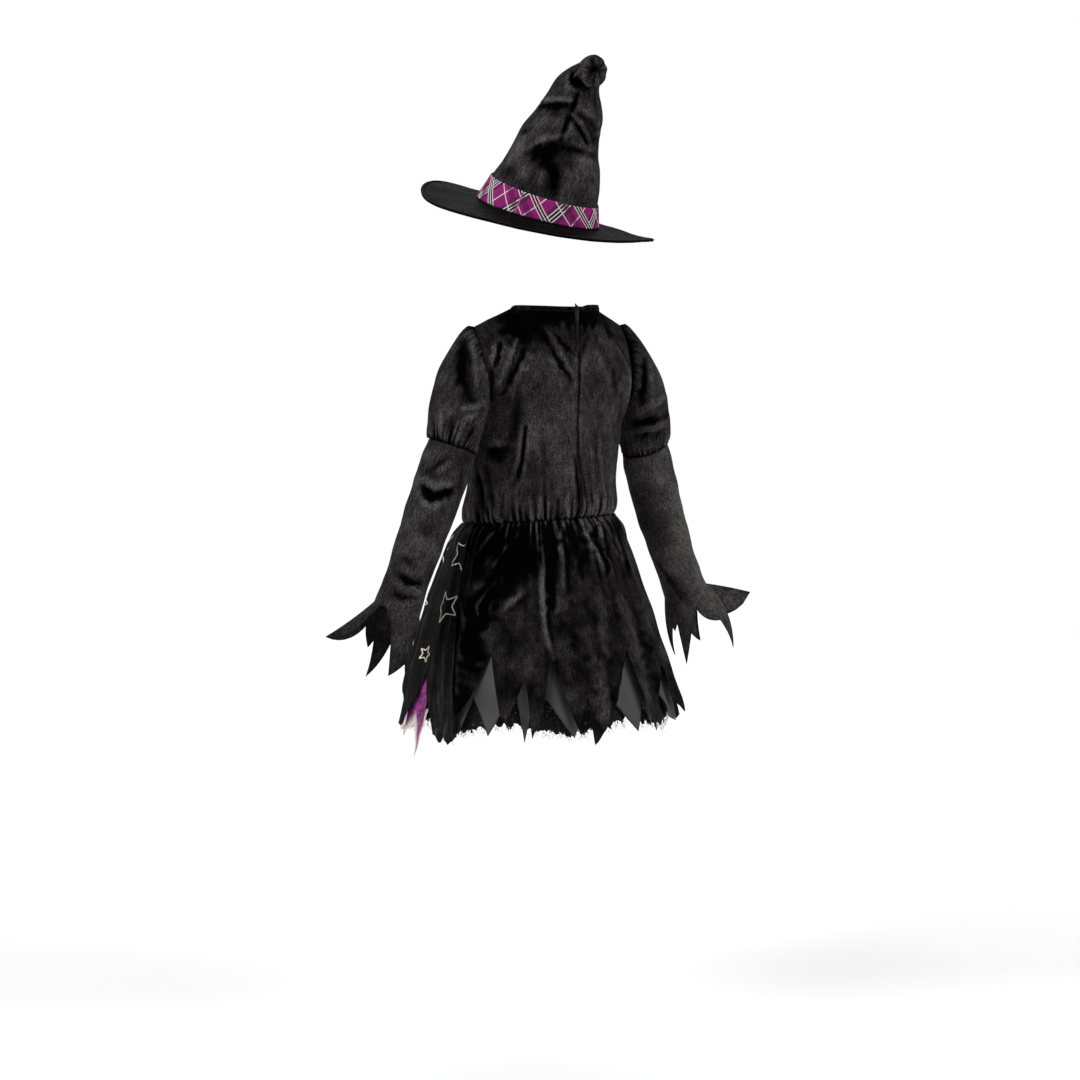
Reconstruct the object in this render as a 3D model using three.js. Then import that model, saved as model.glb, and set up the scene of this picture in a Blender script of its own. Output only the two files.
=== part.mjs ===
// Child's witch costume, worn but with no wearer: a black velvet dress with puffed upper sleeves,
// claw-cut cuffs and a ragged skirt over net, and a pointed velvet hat with a plaid band.
// Millimetres, +Z up, +X to the wearer's left, -Y to the wearer's front.
// The origin is the centre of the neck opening, where the wearer's shoulders carry the dress.

import * as THREE from 'three';

// Driving sizes
const VELVET = 1.5;               // cloth wall of the dress
const SATIN = 1.0;                // smooth underskirt
const NET = 0.9;                  // petticoat, front net and star overlay
const SEAM_GAP = 0.4;             // between pieces sewn edge to edge
const WAIST_Z = -306;
const WAIST_DIP = 7;              // the elastic sits higher at the back
const WAIST_DIP_TURN = 286;
const HEM_Z = -600;
const HEM_SPLIT_Z = -476;         // above this the skirt is whole all round, below it is cut into points
const ARMPIT_Z = -165;
const FLUTES = 18;                // the skirt's round folds, which deepen towards the hem
const FLUTE_AT_WAIST = 0.6;
const FLUTE_AT_HEM = 7;
const WAIST_GATHERS = 32;         // small folds at the elastic, above and below it
const GATHER_HEIGHT = 1.5;
const BLOUSE_FOLDS = 15;          // soft folds of the bodice over the elastic
const BLOUSE_FOLD_HEIGHT = 1.6;
const SLEEVE_GATHERS = 10;
const SLEEVE_GATHER_HEIGHT = 1.9;
const SLEEVE_CREASE = 1.3;
const COLUMN_STEP = 3.1;          // degrees between the velvet's columns
const HAT_TILT = -16.5;           // degrees, front raised
const HAT_ROLL = 4;               // degrees, lower at the wearer's left
const HAT_TURN = 30;              // degrees, towards the wearer's left
const HAT_PLACE = [8, -24, 134.5];
const BRIM_RADIUS = 171;
const BRIM_THICKNESS = 3;
const CROWN_WALL = 1.8;
const CROWN_CREASE = 1.6;
const BAND_WALL = 1.2;

const DEG = Math.PI / 180;
const vec = (x, y, z) => new THREE.Vector3(x, y, z);
const mix = (a, b, t) => a + (b - a) * t;
const clamp01 = (t) => Math.min(1, Math.max(0, t));
const smooth = (t) => clamp01(t) ** 2 * (3 - 2 * clamp01(t));

// The trunk of the dress: half width at the side seams, and where the back, side and front lines lie.
const BODICE_SECTIONS = [
  { z: -306, side: 114, back: 62, mid: -30, front: -119 },
  { z: -299, side: 118, back: 67, mid: -30, front: -122 },
  { z: -284, side: 120, back: 69, mid: -29, front: -122 },
  { z: -258, side: 117, back: 66, mid: -26, front: -114 },
  { z: -215, side: 121, back: 61, mid: -18, front: -103 },
  { z: -165, side: 126, back: 59, mid: -12, front: -93 },
];

// The skirt: half width, half depth and middle of each level.
const SKIRT_SECTIONS = [
  { z: -306, side: 116, depth: 92, mid: -30 },
  { z: -322, side: 129, depth: 106, mid: -31 },
  { z: -350, side: 139, depth: 119, mid: -33 },
  { z: -400, side: 155, depth: 138, mid: -33 },
  { z: -450, side: 170, depth: 155, mid: -32 },
  { z: -500, side: 184, depth: 170, mid: -31 },
  { z: -550, side: 197, depth: 184, mid: -30 },
  { z: -640, side: 218, depth: 205, mid: -29 },
];

// Points and slits of the velvet skirt's hem, round the back from the left side to the right.
const VELVET_HEM = [
  { turn: 0, z: -566, lean: 0, curl: 0 },
  { turn: 8, z: -562, lean: 0, curl: 0 },
  { turn: 16, z: -582, lean: 0, curl: 0 },
  { turn: 22.7, z: -547, lean: 0, curl: 0 },
  { turn: 30.6, z: -481, lean: 0, curl: 0 },
  { turn: 37.9, z: -566, lean: 0, curl: 4 },
  { turn: 40.6, z: -570, lean: 0, curl: 4 },
  { turn: 44.3, z: -543, lean: 0, curl: 3 },
  { turn: 47.8, z: -512, lean: 0, curl: 1 },
  { turn: 50.5, z: -598, lean: 0, curl: 5 },
  { turn: 54.4, z: -563, lean: 0, curl: 4 },
  { turn: 58.9, z: -485, lean: 0, curl: 0 },
  { turn: 64.2, z: -536, lean: 0, curl: 3 },
  { turn: 69.4, z: -586, lean: 0, curl: 5 },
  { turn: 74.4, z: -541, lean: -0.5, curl: 3 },
  { turn: 76.8, z: -607, lean: -2.6, curl: 8 },
  { turn: 80.6, z: -586, lean: -1, curl: 6 },
  { turn: 84.9, z: -553, lean: 0, curl: 3 },
  { turn: 87, z: -564, lean: 0, curl: 4 },
  { turn: 89.2, z: -553, lean: 0, curl: 3 },
  { turn: 98.2, z: -481, lean: 0, curl: 0 },
  { turn: 100.4, z: -530, lean: 0, curl: 2 },
  { turn: 105, z: -597, lean: 0, curl: 5 },
  { turn: 112.6, z: -582, lean: 0, curl: 4 },
  { turn: 121.4, z: -510, lean: 0, curl: 1 },
  { turn: 131, z: -552, lean: 0, curl: 4 },
  { turn: 139, z: -588, lean: 0, curl: 6 },
  { turn: 148, z: -512, lean: 0, curl: 0 },
  { turn: 157, z: -594, lean: 0, curl: 0 },
  { turn: 165, z: -498, lean: 0, curl: 0 },
  { turn: 173, z: -586, lean: 0, curl: 0 },
  { turn: 180, z: -560, lean: 0, curl: 0 },
];

// Points of the satin underskirt that hang in the slits of the velvet; the front half repeats evenly.
const SATIN_HEM_BACK = [
  { turn: 0, z: -552 },
  { turn: 8, z: -590 },
  { turn: 14, z: -560 },
  { turn: 18.7, z: -598 },
  { turn: 23.5, z: -545 },
  { turn: 31.6, z: -598 },
  { turn: 39.5, z: -552 },
  { turn: 43.8, z: -540 },
  { turn: 47.4, z: -606 },
  { turn: 50.4, z: -556 },
  { turn: 56.7, z: -546 },
  { turn: 68.3, z: -600 },
  { turn: 74, z: -556 },
  { turn: 80, z: -584 },
  { turn: 88, z: -552 },
  { turn: 98.3, z: -598 },
  { turn: 103, z: -560 },
  { turn: 110, z: -590 },
  { turn: 118.3, z: -552 },
  { turn: 128, z: -586 },
  { turn: 137.7, z: -600 },
  { turn: 144, z: -548 },
  { turn: 150, z: -596 },
  { turn: 158, z: -550 },
  { turn: 166, z: -600 },
  { turn: 174, z: -556 },
];
const SATIN_FRONT_POINTS = 10;

// Half of the star overlay's hem, from the side to the middle of the front; the other half mirrors it.
const OVERLAY_HEM_HALF = [
  { turn: 21, z: -598 },
  { turn: 17, z: -610 },
  { turn: 13, z: -602 },
  { turn: 9, z: -611 },
  { turn: 5.5, z: -600 },
  { turn: 3.5, z: -556 },
  { turn: -5, z: -492 },
  { turn: -8.5, z: -548 },
  { turn: -12, z: -592 },
  { turn: -25, z: -600 },
  { turn: -34, z: -556 },
  { turn: -42, z: -506 },
  { turn: -50, z: -560 },
  { turn: -59, z: -604 },
  { turn: -68, z: -562 },
  { turn: -75, z: -516 },
  { turn: -82, z: -570 },
  { turn: -90, z: -606 },
];

// The skirt's layers: wall, distance outside the velvet's face at waist and hem, how much of the velvet's
// flutes each follows, the levels of its rows above the slits, and their shares below.
const LAYERS = {
  velvet: {
    thickness: VELVET, waistOut: 0, hemOut: 0, follow: 1,
    levels: [-306, -315, -332, -362, -415, HEM_SPLIT_Z], shares: [0.36, 0.7, 1],
  },
  overlay: {
    thickness: NET, waistOut: 3, hemOut: 3.4, follow: 1,
    levels: [-306, -318, -345, -400, HEM_SPLIT_Z], shares: [0.5, 1],
  },
  glitter: {
    thickness: NET, waistOut: -1.2, hemOut: -5, follow: 0.5,
    levels: [-306, -345, -400, HEM_SPLIT_Z], shares: [0.5, 1],
  },
  satin: {
    thickness: SATIN, waistOut: -4.2, hemOut: -8, follow: 0.5,
    levels: [-306, -345, -400, HEM_SPLIT_Z], shares: [0.5, 1],
  },
  petticoat: {
    thickness: NET, waistOut: -6, hemOut: -13, follow: 0,
    levels: [-306, -345, -400, HEM_SPLIT_Z], shares: [1],
  },
};

// Where the overlay's free side edge runs over the velvet.
const OVERLAY_EDGE = [
  { z: -306, turn: 2 },
  { z: -373, turn: 6 },
  { z: -431, turn: 8 },
  { z: -483, turn: 11 },
  { z: -605, turn: 21 },
];

// Points of the cuffs: turn round the arm from its outer side towards the back, length below the wrist, and
// the share of its way that the cloth goes outward at its root and at its tip.
const CUFF_LEFT = [
  { turn: -36, length: 93, out: 0.84, hook: 0.92 },
  { turn: -12, length: 22, out: 0.6, hook: 0.5 },
  { turn: 6, length: 3, out: 0.3, hook: 0.3 },
  { turn: 26, length: 3, out: 0.2, hook: 0.2 },
  { turn: 42, length: 24, out: 0.1, hook: 0.1 },
  { turn: 50, length: 97, out: -0.06, hook: 0.34 },
  { turn: 72, length: 74, out: 0, hook: 0 },
  { turn: 79, length: 88, out: 0, hook: 0.1 },
  { turn: 88, length: 62, out: 0, hook: 0 },
  { turn: 102, length: 28, out: 0, hook: 0 },
  { turn: 124, length: 14, out: 0, hook: 0 },
  { turn: 165, length: 14, out: 0, hook: 0 },
  { turn: 207, length: 62, out: 0, hook: 0 },
  { turn: 232, length: 22, out: 0, hook: 0 },
  { turn: 262, length: 108, out: 0.06, hook: 0.6 },
  { turn: 284, length: 52, out: 0.2, hook: 0.2 },
  { turn: 296, length: 64, out: 0.3, hook: 0.2 },
  { turn: 306, length: 36, out: 0.5, hook: 0.4 },
];
const CUFF_RIGHT = [
  { turn: -32, length: 122, out: 0.99, hook: 0.97 },
  { turn: -6, length: 16, out: 0.6, hook: 0.4 },
  { turn: 20, length: 32, out: 0.85, hook: 0.6 },
  { turn: 58, length: 124, out: 0.88, hook: 0 },
  { turn: 82, length: 56, out: 0.8, hook: 0.5 },
  { turn: 103, length: 16, out: 0.1, hook: 0 },
  { turn: 111, length: 65, out: 0.2, hook: 0.22 },
  { turn: 118, length: 50, out: 0.05, hook: 0 },
  { turn: 129, length: 96, out: 0, hook: 0 },
  { turn: 164, length: 10, out: 0, hook: 0 },
  { turn: 198, length: 86, out: 0.14, hook: 0.26 },
  { turn: 232, length: 14, out: 0, hook: 0 },
  { turn: 268, length: 66, out: 0.15, hook: 0.1 },
  { turn: 298, length: 14, out: 0.4, hook: 0.3 },
];

// Where each sleeve runs: both hang a little away from the trunk.
const ARMS = {
  left: { side: 1, shoulder: [132, -11, -28], elbow: [173, -8, -195], wrist: [256, -27, -421], bow: 0 },
  right: { side: -1, shoulder: [132, -11, -28], elbow: [178, -8, -207], wrist: [278, -28, -432], bow: -6 },
};

// The lower sleeve: share of the way from elbow seam to wrist, and radius.
const LOWER_SLEEVE = [
  { along: 0, radius: 34 },
  { along: 0.12, radius: 36.5 },
  { along: 0.3, radius: 36 },
  { along: 0.55, radius: 34 },
  { along: 0.82, radius: 31.5 },
  { along: 1, radius: 33.5 },
];

// The crown of the hat leans back, then its stuffed tip flops over towards the wearer's left.
const CROWN = [
  { up: 0.6, back: -1, left: 0, radius: 90, lean: 0 },
  { up: 34, back: 2, left: 0, radius: 79, lean: 3 },
  { up: 56, back: 6, left: 0, radius: 73, lean: 2 },
  { up: 76, back: 6, left: 0, radius: 67, lean: 0 },
  { up: 94, back: 6, left: 1, radius: 61, lean: 2 },
  { up: 112, back: 8, left: 2, radius: 57, lean: 6 },
  { up: 136, back: 12, left: 2, radius: 49.5, lean: 8 },
  { up: 160, back: 17, left: 3, radius: 43.5, lean: 12 },
  { up: 181, back: 18, left: 5, radius: 37, lean: 22 },
  { up: 197, back: 23, left: 8, radius: 28, lean: 38 },
  { up: 208, back: 30, left: 13, radius: 22, lean: 52 },
  { up: 216, back: 38, left: 20, radius: 22.5, lean: 66 },
  { up: 220, back: 45, left: 29, radius: 19, lean: 78 },
  { up: 221, back: 49, left: 35, radius: 9, lean: 84 },
];
const CROWN_WIDTH_SHARE = 0.88;   // the head hole is narrower across than from front to back
const BRIM_SHARES = [0, 0.35, 0.7, 1];

// How far the brim's edge droops, round from the wearer's left by the back.
const BRIM_EDGE = [
  { turn: 0, droop: 4 },
  { turn: 45, droop: -2 },
  { turn: 75, droop: -7 },
  { turn: 90, droop: -8 },
  { turn: 105, droop: -4 },
  { turn: 120, droop: 2 },
  { turn: 135, droop: 10 },
  { turn: 150, droop: 18 },
  { turn: 165, droop: 20 },
  { turn: 190, droop: 22 },
  { turn: 225, droop: 16 },
  { turn: 270, droop: 2 },
  { turn: 315, droop: 11 },
  { turn: 360, droop: 4 },
];

// Shared helpers

// Reads a table at one value of its key column, smoothly between its rows.
function readTable(table, key, value) {
  const last = table.length - 1;
  const rising = table[last][key] > table[0][key];
  let i = 0;
  while (i < last - 1 && (rising ? value > table[i + 1][key] : value < table[i + 1][key])) i += 1;
  const [p, q] = [table[i], table[i + 1]];
  const width = q[key] - p[key];
  const t = clamp01((value - p[key]) / width);
  const before = table[Math.max(0, i - 1)];
  const after = table[Math.min(last, i + 2)];
  const found = {};
  for (const column of Object.keys(p)) {
    const slopeP = before === p ? (q[column] - p[column]) / width
      : (q[column] - before[column]) / (q[key] - before[key]);
    const slopeQ = after === q ? (q[column] - p[column]) / width
      : (after[column] - p[column]) / (after[key] - p[key]);
    found[column] = p[column] * (2 * t ** 3 - 3 * t ** 2 + 1) + slopeP * width * (t ** 3 - 2 * t ** 2 + t)
      + q[column] * (3 * t ** 2 - 2 * t ** 3) + slopeQ * width * (t ** 3 - t ** 2);
  }
  return found;
}

// Splits the straight stretches between hem rows so that no column is wider than the step.
function splitHem(table, step) {
  const rows = [];
  table.forEach((p, i) => {
    rows.push(p);
    const q = table[i + 1];
    if (!q) return;
    const parts = Math.ceil(Math.abs(q.turn - p.turn) / step - 1e-6);
    for (let k = 1; k < parts; k += 1) {
      const between = {};
      for (const column of Object.keys(p)) between[column] = mix(p[column], q[column], k / parts);
      rows.push(between);
    }
  });
  return rows;
}

// Outward normals of a grid of points, rows running down and columns round.
function gridNormals(rows, closed, outward) {
  const count = rows[0].length;
  return rows.map((row, r) => row.map((point, c) => {
    const next = closed ? row[(c + 1) % count] : row[Math.min(c + 1, count - 1)];
    const past = closed ? row[(c + count - 1) % count] : row[Math.max(c - 1, 0)];
    const below = rows[Math.min(r + 1, rows.length - 1)][c];
    const above = rows[Math.max(r - 1, 0)][c];
    const normal = vec(0, 0, 0).crossVectors(next.clone().sub(past), below.clone().sub(above)).normalize();
    return normal.dot(outward(point, r, c)) < 0 ? normal.negate() : normal;
  }));
}

// A cloth wall: the outer grid, the same grid moved inwards, and rims along its free edges.
// endCap closes the last row with a point, as at the tip of the hat. Where a seam is, across gives the
// direction over it, and the wall's thickness has no share of that direction.
function clothWall(rows, { thickness, closed = false, endCap = false, outward, across = () => null }) {
  const normals = gridNormals(rows, closed, outward);
  normals.forEach((row, r) => row.forEach((normal, c) => {
    const over = across(rows[r][c], r, c);
    if (over) normal.addScaledVector(over, -normal.dot(over)).normalize();
  }));
  const count = rows[0].length;
  const points = [];
  const outer = rows.map((row) => row.map((p) => points.push(p) - 1));
  const inner = rows.map((row, r) => row.map((p, c) => (
    points.push(p.clone().addScaledVector(normals[r][c], -thickness)) - 1)));
  const faces = [];
  const quad = (a, b, c, d) => faces.push([a, b, c], [a, c, d]);
  const around = closed ? count : count - 1;
  for (let r = 0; r < rows.length - 1; r += 1) {
    for (let c = 0; c < around; c += 1) {
      const n = (c + 1) % count;
      quad(outer[r][c], outer[r + 1][c], outer[r + 1][n], outer[r][n]);
      quad(inner[r][c], inner[r][n], inner[r + 1][n], inner[r + 1][c]);
    }
  }
  const last = rows.length - 1;
  for (let c = 0; c < around; c += 1) {
    const n = (c + 1) % count;
    quad(outer[0][c], outer[0][n], inner[0][n], inner[0][c]);
    if (!endCap) quad(outer[last][n], outer[last][c], inner[last][c], inner[last][n]);
  }
  if (!closed) {
    const end = count - 1;
    for (let r = 0; r < last; r += 1) {
      quad(outer[r + 1][0], outer[r][0], inner[r][0], inner[r + 1][0]);
      quad(outer[r][end], outer[r + 1][end], inner[r + 1][end], inner[r][end]);
    }
  }
  if (endCap) {
    for (const [ring, flip] of [[outer[last], true], [inner[last], false]]) {
      const middle = vec(0, 0, 0);
      ring.forEach((i) => middle.addScaledVector(points[i], 1 / count));
      const tip = points.push(middle) - 1;
      ring.forEach((i, c) => {
        const n = ring[(c + 1) % count];
        faces.push(flip ? [n, i, tip] : [i, n, tip]);
      });
    }
  }
  return closedGeometry(points, faces);
}

// Makes an indexed geometry, with its faces turned outwards.
function closedGeometry(points, faces) {
  let volume = 0;
  for (const [a, b, c] of faces) {
    volume += points[a].dot(vec(0, 0, 0).crossVectors(points[b], points[c]));
  }
  const index = volume < 0 ? faces.flatMap(([a, b, c]) => [a, c, b]) : faces.flat();
  const geometry = new THREE.BufferGeometry();
  const numbers = points.flatMap((point) => point.toArray());
  geometry.setAttribute('position', new THREE.Float32BufferAttribute(numbers, 3));
  geometry.setIndex(index);
  geometry.computeVertexNormals();
  return geometry;
}

const FINISHES = {
  velvet: { color: 0x1b191b, roughness: 0.85, metalness: 0 },
  satin: { color: 0x3d3a3d, roughness: 0.5, metalness: 0 },
  net: { color: 0x0e0d0e, roughness: 0.9, metalness: 0 },
  starNet: { color: 0x151415, roughness: 0.8, metalness: 0 },
  glitterNet: { color: 0x8a1f74, roughness: 0.45, metalness: 0.2 },
  plaid: { color: 0xa32a7c, roughness: 0.7, metalness: 0 },
};

function piece(name, geometry, finish) {
  const mesh = new THREE.Mesh(geometry, new THREE.MeshStandardMaterial(FINISHES[finish]));
  mesh.name = name;
  return mesh;
}

// Skirt

const waistShift = (turn) => -WAIST_DIP * Math.cos((turn - WAIST_DIP_TURN) * DEG);

// How far a fold of the skirt stands out: small gathers at the waist that open into flutes. Layers that lie
// inside follow the flutes less and have no gathers.
function skirtFold(turn, z, follow) {
  const depth = clamp01((WAIST_Z - z) / (WAIST_Z - HEM_Z));
  const drift = 34 * Math.sin(2 * turn * DEG) + 22 * Math.sin(5 * turn * DEG + 1);
  const flute = Math.cos((FLUTES * turn + drift) * DEG) * mix(FLUTE_AT_WAIST, FLUTE_AT_HEM, depth ** 0.9);
  const gather = Math.cos((WAIST_GATHERS * turn + 40) * DEG) * GATHER_HEIGHT * Math.exp(-7 * depth);
  return follow * flute + (follow === 1 ? gather : 0);
}

// A point of the skirt; out is its distance outside the velvet's face.
function skirtPoint(turn, z, out, follow) {
  const section = readTable(SKIRT_SECTIONS, 'z', z);
  const reach = out + skirtFold(turn, z, follow);
  const lift = waistShift(turn) * clamp01(1 - (WAIST_Z - z) / 120);
  return vec(
    (section.side + reach) * Math.cos(turn * DEG),
    section.mid + (section.depth + reach) * Math.sin(turn * DEG),
    z + lift,
  );
}

const SKIRT_MIDDLE = -31;
const SIDE_INSET = (SEAM_GAP / SKIRT_SECTIONS[0].side) / DEG;   // keeps the side edges of two layers apart
const skirtOutward = (point) => vec(point.x, point.y - SKIRT_MIDDLE, 0);

// Rows run down: whole levels to where the slits end, then shares of the way from there to the hem.
function skirtLayer(columns, { layer, closed = false, edge }) {
  const top = layer.levels.map((z) => ({ z: z - SEAM_GAP / 2, share: 0 }));
  const rows = [...top, ...layer.shares.map((share) => ({ z: HEM_SPLIT_Z, share }))].map((row) => (
    columns.map((column) => {
      const z = mix(row.z, column.z, row.share);
      const depth = clamp01((WAIST_Z - z) / (WAIST_Z - HEM_Z));
      const turn = edge ? edge(column.turn, z) : column.turn;
      const lean = (column.lean || 0) * row.share ** 2;
      const out = mix(layer.waistOut, layer.hemOut, depth) + (column.curl || 0) * row.share ** 2;
      return skirtPoint(turn + lean, z, out, layer.follow);
    })));
  const end = columns.length - 1;
  const across = (point, r, c) => {
    const atSeam = !closed && (c === 0 || c === end);
    return atSeam ? vec(SKIRT_MIDDLE - point.y, point.x, 0).normalize() : null;
  };
  return clothWall(rows, { thickness: layer.thickness, closed, outward: skirtOutward, across });
}

function velvetSkirt() {
  const columns = splitHem(VELVET_HEM, COLUMN_STEP).map((column) => (
    { ...column, turn: mix(SIDE_INSET, 180 - SIDE_INSET, column.turn / 180) }));
  return skirtLayer(columns, { layer: LAYERS.velvet });
}

function satinSkirt() {
  const step = 180 / SATIN_FRONT_POINTS;
  const front = [];
  for (let i = 0; i < SATIN_FRONT_POINTS; i += 1) {
    front.push({ turn: 180 + i * step, z: -600 }, { turn: 180 + (i + 0.5) * step, z: -552 });
  }
  const hem = [...SATIN_HEM_BACK, ...front, { ...SATIN_HEM_BACK[0], turn: 360 }];
  return skirtLayer(splitHem(hem, 6).slice(0, -1), { layer: LAYERS.satin, closed: true });
}

// The petticoat's torn edge goes up and down at every column.
function netPetticoat() {
  const count = 60;
  const columns = Array.from({ length: count }, (_, i) => ({
    turn: (360 * i) / count,
    z: -586 - 7 * Math.sin(i * 0.7) - (i % 2 ? 9 : 0) - (i % 5 === 0 ? 5 : 0),
  }));
  return skirtLayer(columns, { layer: LAYERS.petticoat, closed: true });
}

// The glitter net makes the front of the skirt, between the velvet's side edges.
function glitterNetFront() {
  const points = 14;
  const hem = [];
  for (let i = 0; i <= points; i += 1) {
    const turn = mix(180 + SIDE_INSET, 360 - SIDE_INSET, i / points);
    const tip = i === points - 1 ? -626 : -612 - (i % 3 === 1 ? 14 : 0);
    hem.push({ turn, z: i === points ? -575 : -598 });
    if (i < points) hem.push({ turn: turn + 90 / points, z: tip });
  }
  return skirtLayer(splitHem(hem, 6.5), { layer: LAYERS.glitter });
}

function starOverlay() {
  const left = OVERLAY_HEM_HALF;
  const right = left.slice(0, -1).reverse().map((row) => ({ ...row, turn: -180 - row.turn }));
  const widest = OVERLAY_EDGE[OVERLAY_EDGE.length - 1].turn;
  const edge = (turn, z) => {
    const shift = readTable(OVERLAY_EDGE, 'z', z).turn - widest;
    const fromLeft = smooth((turn + 12) / (widest + 12));
    const fromRight = smooth((-168 - turn) / (widest + 12));
    return turn + shift * (fromLeft - fromRight);
  };
  return skirtLayer(splitHem([...left, ...right], 4.2), { layer: LAYERS.overlay, edge });
}

// Bodice

const NECK = { side: 66, back: 59, front: -58, sideY: 2, sideZ: 2, backZ: 0, frontZ: -46 };
const ARMHOLE_BULGE = { back: [134, 26], front: [131, -48] };
const YOKE_FULLNESS = { back: 11, front: -9, up: 5 };

function cubic(a, b, c, d, t) {
  const s = 1 - t;
  return a.clone().multiplyScalar(s ** 3).addScaledVector(b, 3 * s * s * t)
    .addScaledVector(c, 3 * s * t * t).addScaledVector(d, t ** 3);
}

// The armhole seam of one half, from the armpit up to the shoulder tip.
function armhole(arm, half, t) {
  const section = BODICE_SECTIONS[BODICE_SECTIONS.length - 1];
  const [shoulderX, shoulderY, shoulderZ] = arm.shoulder;
  const [x, y] = ARMHOLE_BULGE[half];
  return cubic(
    vec(arm.side * section.side, section.mid, ARMPIT_Z),
    vec(arm.side * x, y, ARMPIT_Z + 12),
    vec(arm.side * x, y, shoulderZ - 42),
    vec(arm.side * shoulderX, shoulderY, shoulderZ),
    t,
  );
}

// The same seam as the bodice's edge makes it, straight between its rows.
function armholeSeam(arm, half, t) {
  const i = Math.max(1, YOKE_SHARES.findIndex((share) => share >= t - 1e-9));
  const [a, b] = [YOKE_SHARES[i - 1], YOKE_SHARES[i]];
  return armhole(arm, half, a).lerp(armhole(arm, half, b), (t - a) / (b - a));
}

// The shoulder seam and then the neckline, from the shoulder tip to the middle.
function topEdge(arm, half, t) {
  const neckPoint = vec(arm.side * NECK.side, NECK.sideY, NECK.sideZ);
  const [x, y, z] = arm.shoulder;
  if (t < 0.5) return vec(arm.side * x, y, z).lerp(neckPoint, t * 2);
  const turn = (t - 0.5) * Math.PI;
  const endY = half === 'back' ? NECK.back : NECK.front;
  const endZ = half === 'back' ? NECK.backZ : NECK.frontZ;
  return vec(
    neckPoint.x * Math.cos(turn),
    mix(NECK.sideY, endY, Math.sin(turn)),
    mix(NECK.sideZ, endZ, Math.sin(turn) ** 2),
  );
}

// The middle of the back or front, from the armpit level up to the neckline.
function middleLine(half, t) {
  const section = BODICE_SECTIONS[BODICE_SECTIONS.length - 1];
  const low = half === 'back' ? section.back : section.front;
  const high = half === 'back' ? NECK.back : NECK.front;
  const topZ = half === 'back' ? NECK.backZ : NECK.frontZ;
  const bow = half === 'back' ? 3 : -8;
  return vec(0, mix(low, high, t) + bow * 4 * t * (1 - t), mix(ARMPIT_Z, topZ, t));
}

// A level of the trunk below the armpits; t runs from the side seam to the middle.
function trunkPoint(side, half, z, t) {
  const section = readTable(BODICE_SECTIONS, 'z', z);
  const turn = t * 90 * DEG;
  const reach = (half === 'back' ? section.back : section.front) - section.mid;
  const high = clamp01((z - WAIST_Z) / (ARMPIT_Z - WAIST_Z));
  const around = half === 'back' ? 90 * t : -90 * t;
  const worldTurn = side > 0 ? around : 180 - around;
  const small = Math.cos((WAIST_GATHERS * worldTurn + 90) * DEG) * GATHER_HEIGHT * Math.exp(-9 * high);
  const wide = Math.cos((BLOUSE_FOLDS * worldTurn + 60) * DEG) * BLOUSE_FOLD_HEIGHT * Math.exp(-3 * high);
  const fold = small + wide * smooth(high * 12);
  return vec(
    side * (section.side + fold) * Math.cos(turn),
    section.mid + (reach + Math.sign(reach) * fold) * Math.sin(turn),
    z + waistShift(worldTurn) * (1 - high),
  );
}

// A point between the armpits and the shoulders, blended from the four edges of its quarter.
function yokePoint(arm, half, t, high) {
  const low = trunkPoint(arm.side, half, ARMPIT_Z, t);
  const top = topEdge(arm, half, t);
  const outer = armhole(arm, half, high);
  const inner = middleLine(half, high);
  const corners = trunkPoint(arm.side, half, ARMPIT_Z, 0).multiplyScalar((1 - t) * (1 - high))
    .addScaledVector(trunkPoint(arm.side, half, ARMPIT_Z, 1), t * (1 - high))
    .addScaledVector(topEdge(arm, half, 0), (1 - t) * high)
    .addScaledVector(topEdge(arm, half, 1), t * high);
  const point = low.multiplyScalar(1 - high).addScaledVector(top, high)
    .addScaledVector(outer, 1 - t).addScaledVector(inner, t).sub(corners);
  const middle = Math.max(0, Math.sin(Math.PI * Math.min(1, t * 1.15)));
  const fullness = Math.sin(Math.PI * high) ** 2 * middle ** 0.8;
  point.y += (half === 'back' ? YOKE_FULLNESS.back : YOKE_FULLNESS.front) * fullness;
  point.z += YOKE_FULLNESS.up * fullness * (1 - t);
  return point;
}

const TRUNK_LEVELS = [-306, -298, -284, -262, -230, -198];
const YOKE_SHARES = [0, 1 / 6, 2 / 6, 3 / 6, 4 / 6, 5 / 6, 1];
const QUARTER_SHARES = [0, 0.08, 0.18, 0.28, 0.38, 0.5, 0.6, 0.7, 0.8, 0.9, 1];
const bodiceOutward = (point) => vec(point.x, point.y + 18, Math.max(0, point.z + 90) * 1.2);

// One quarter of the bodice as rows from the waist up; columns from the side seam to the middle.
function bodiceQuarter(arm, half, shares) {
  const seam = (half === 'back' ? 1 : -1) * SEAM_GAP / 2;
  const lower = TRUNK_LEVELS.map((z, r) => shares.map((t) => {
    const point = trunkPoint(arm.side, half, z, t);
    return r === 0 ? point.add(vec(0, 0, SEAM_GAP / 2)) : point;
  }));
  const upper = YOKE_SHARES.map((high) => shares.map((t) => yokePoint(arm, half, t, high)));
  const rows = [...lower, ...upper];
  rows.forEach((row) => { row[0].y += seam; });
  rows[rows.length - 1].forEach((point, c) => { if (shares[c] > 0 && shares[c] <= 0.5) point.y += seam; });
  return rows;
}

// Front and back are sewn along the sides up to the armpits, and along the shoulders.
function sideSeam(r, share) {
  const atSide = share === 0 && r <= TRUNK_LEVELS.length;
  const atShoulder = share <= 0.5 && r === TRUNK_LEVELS.length + YOKE_SHARES.length - 1;
  return atSide || atShoulder ? vec(0, 1, 0) : null;
}

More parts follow.
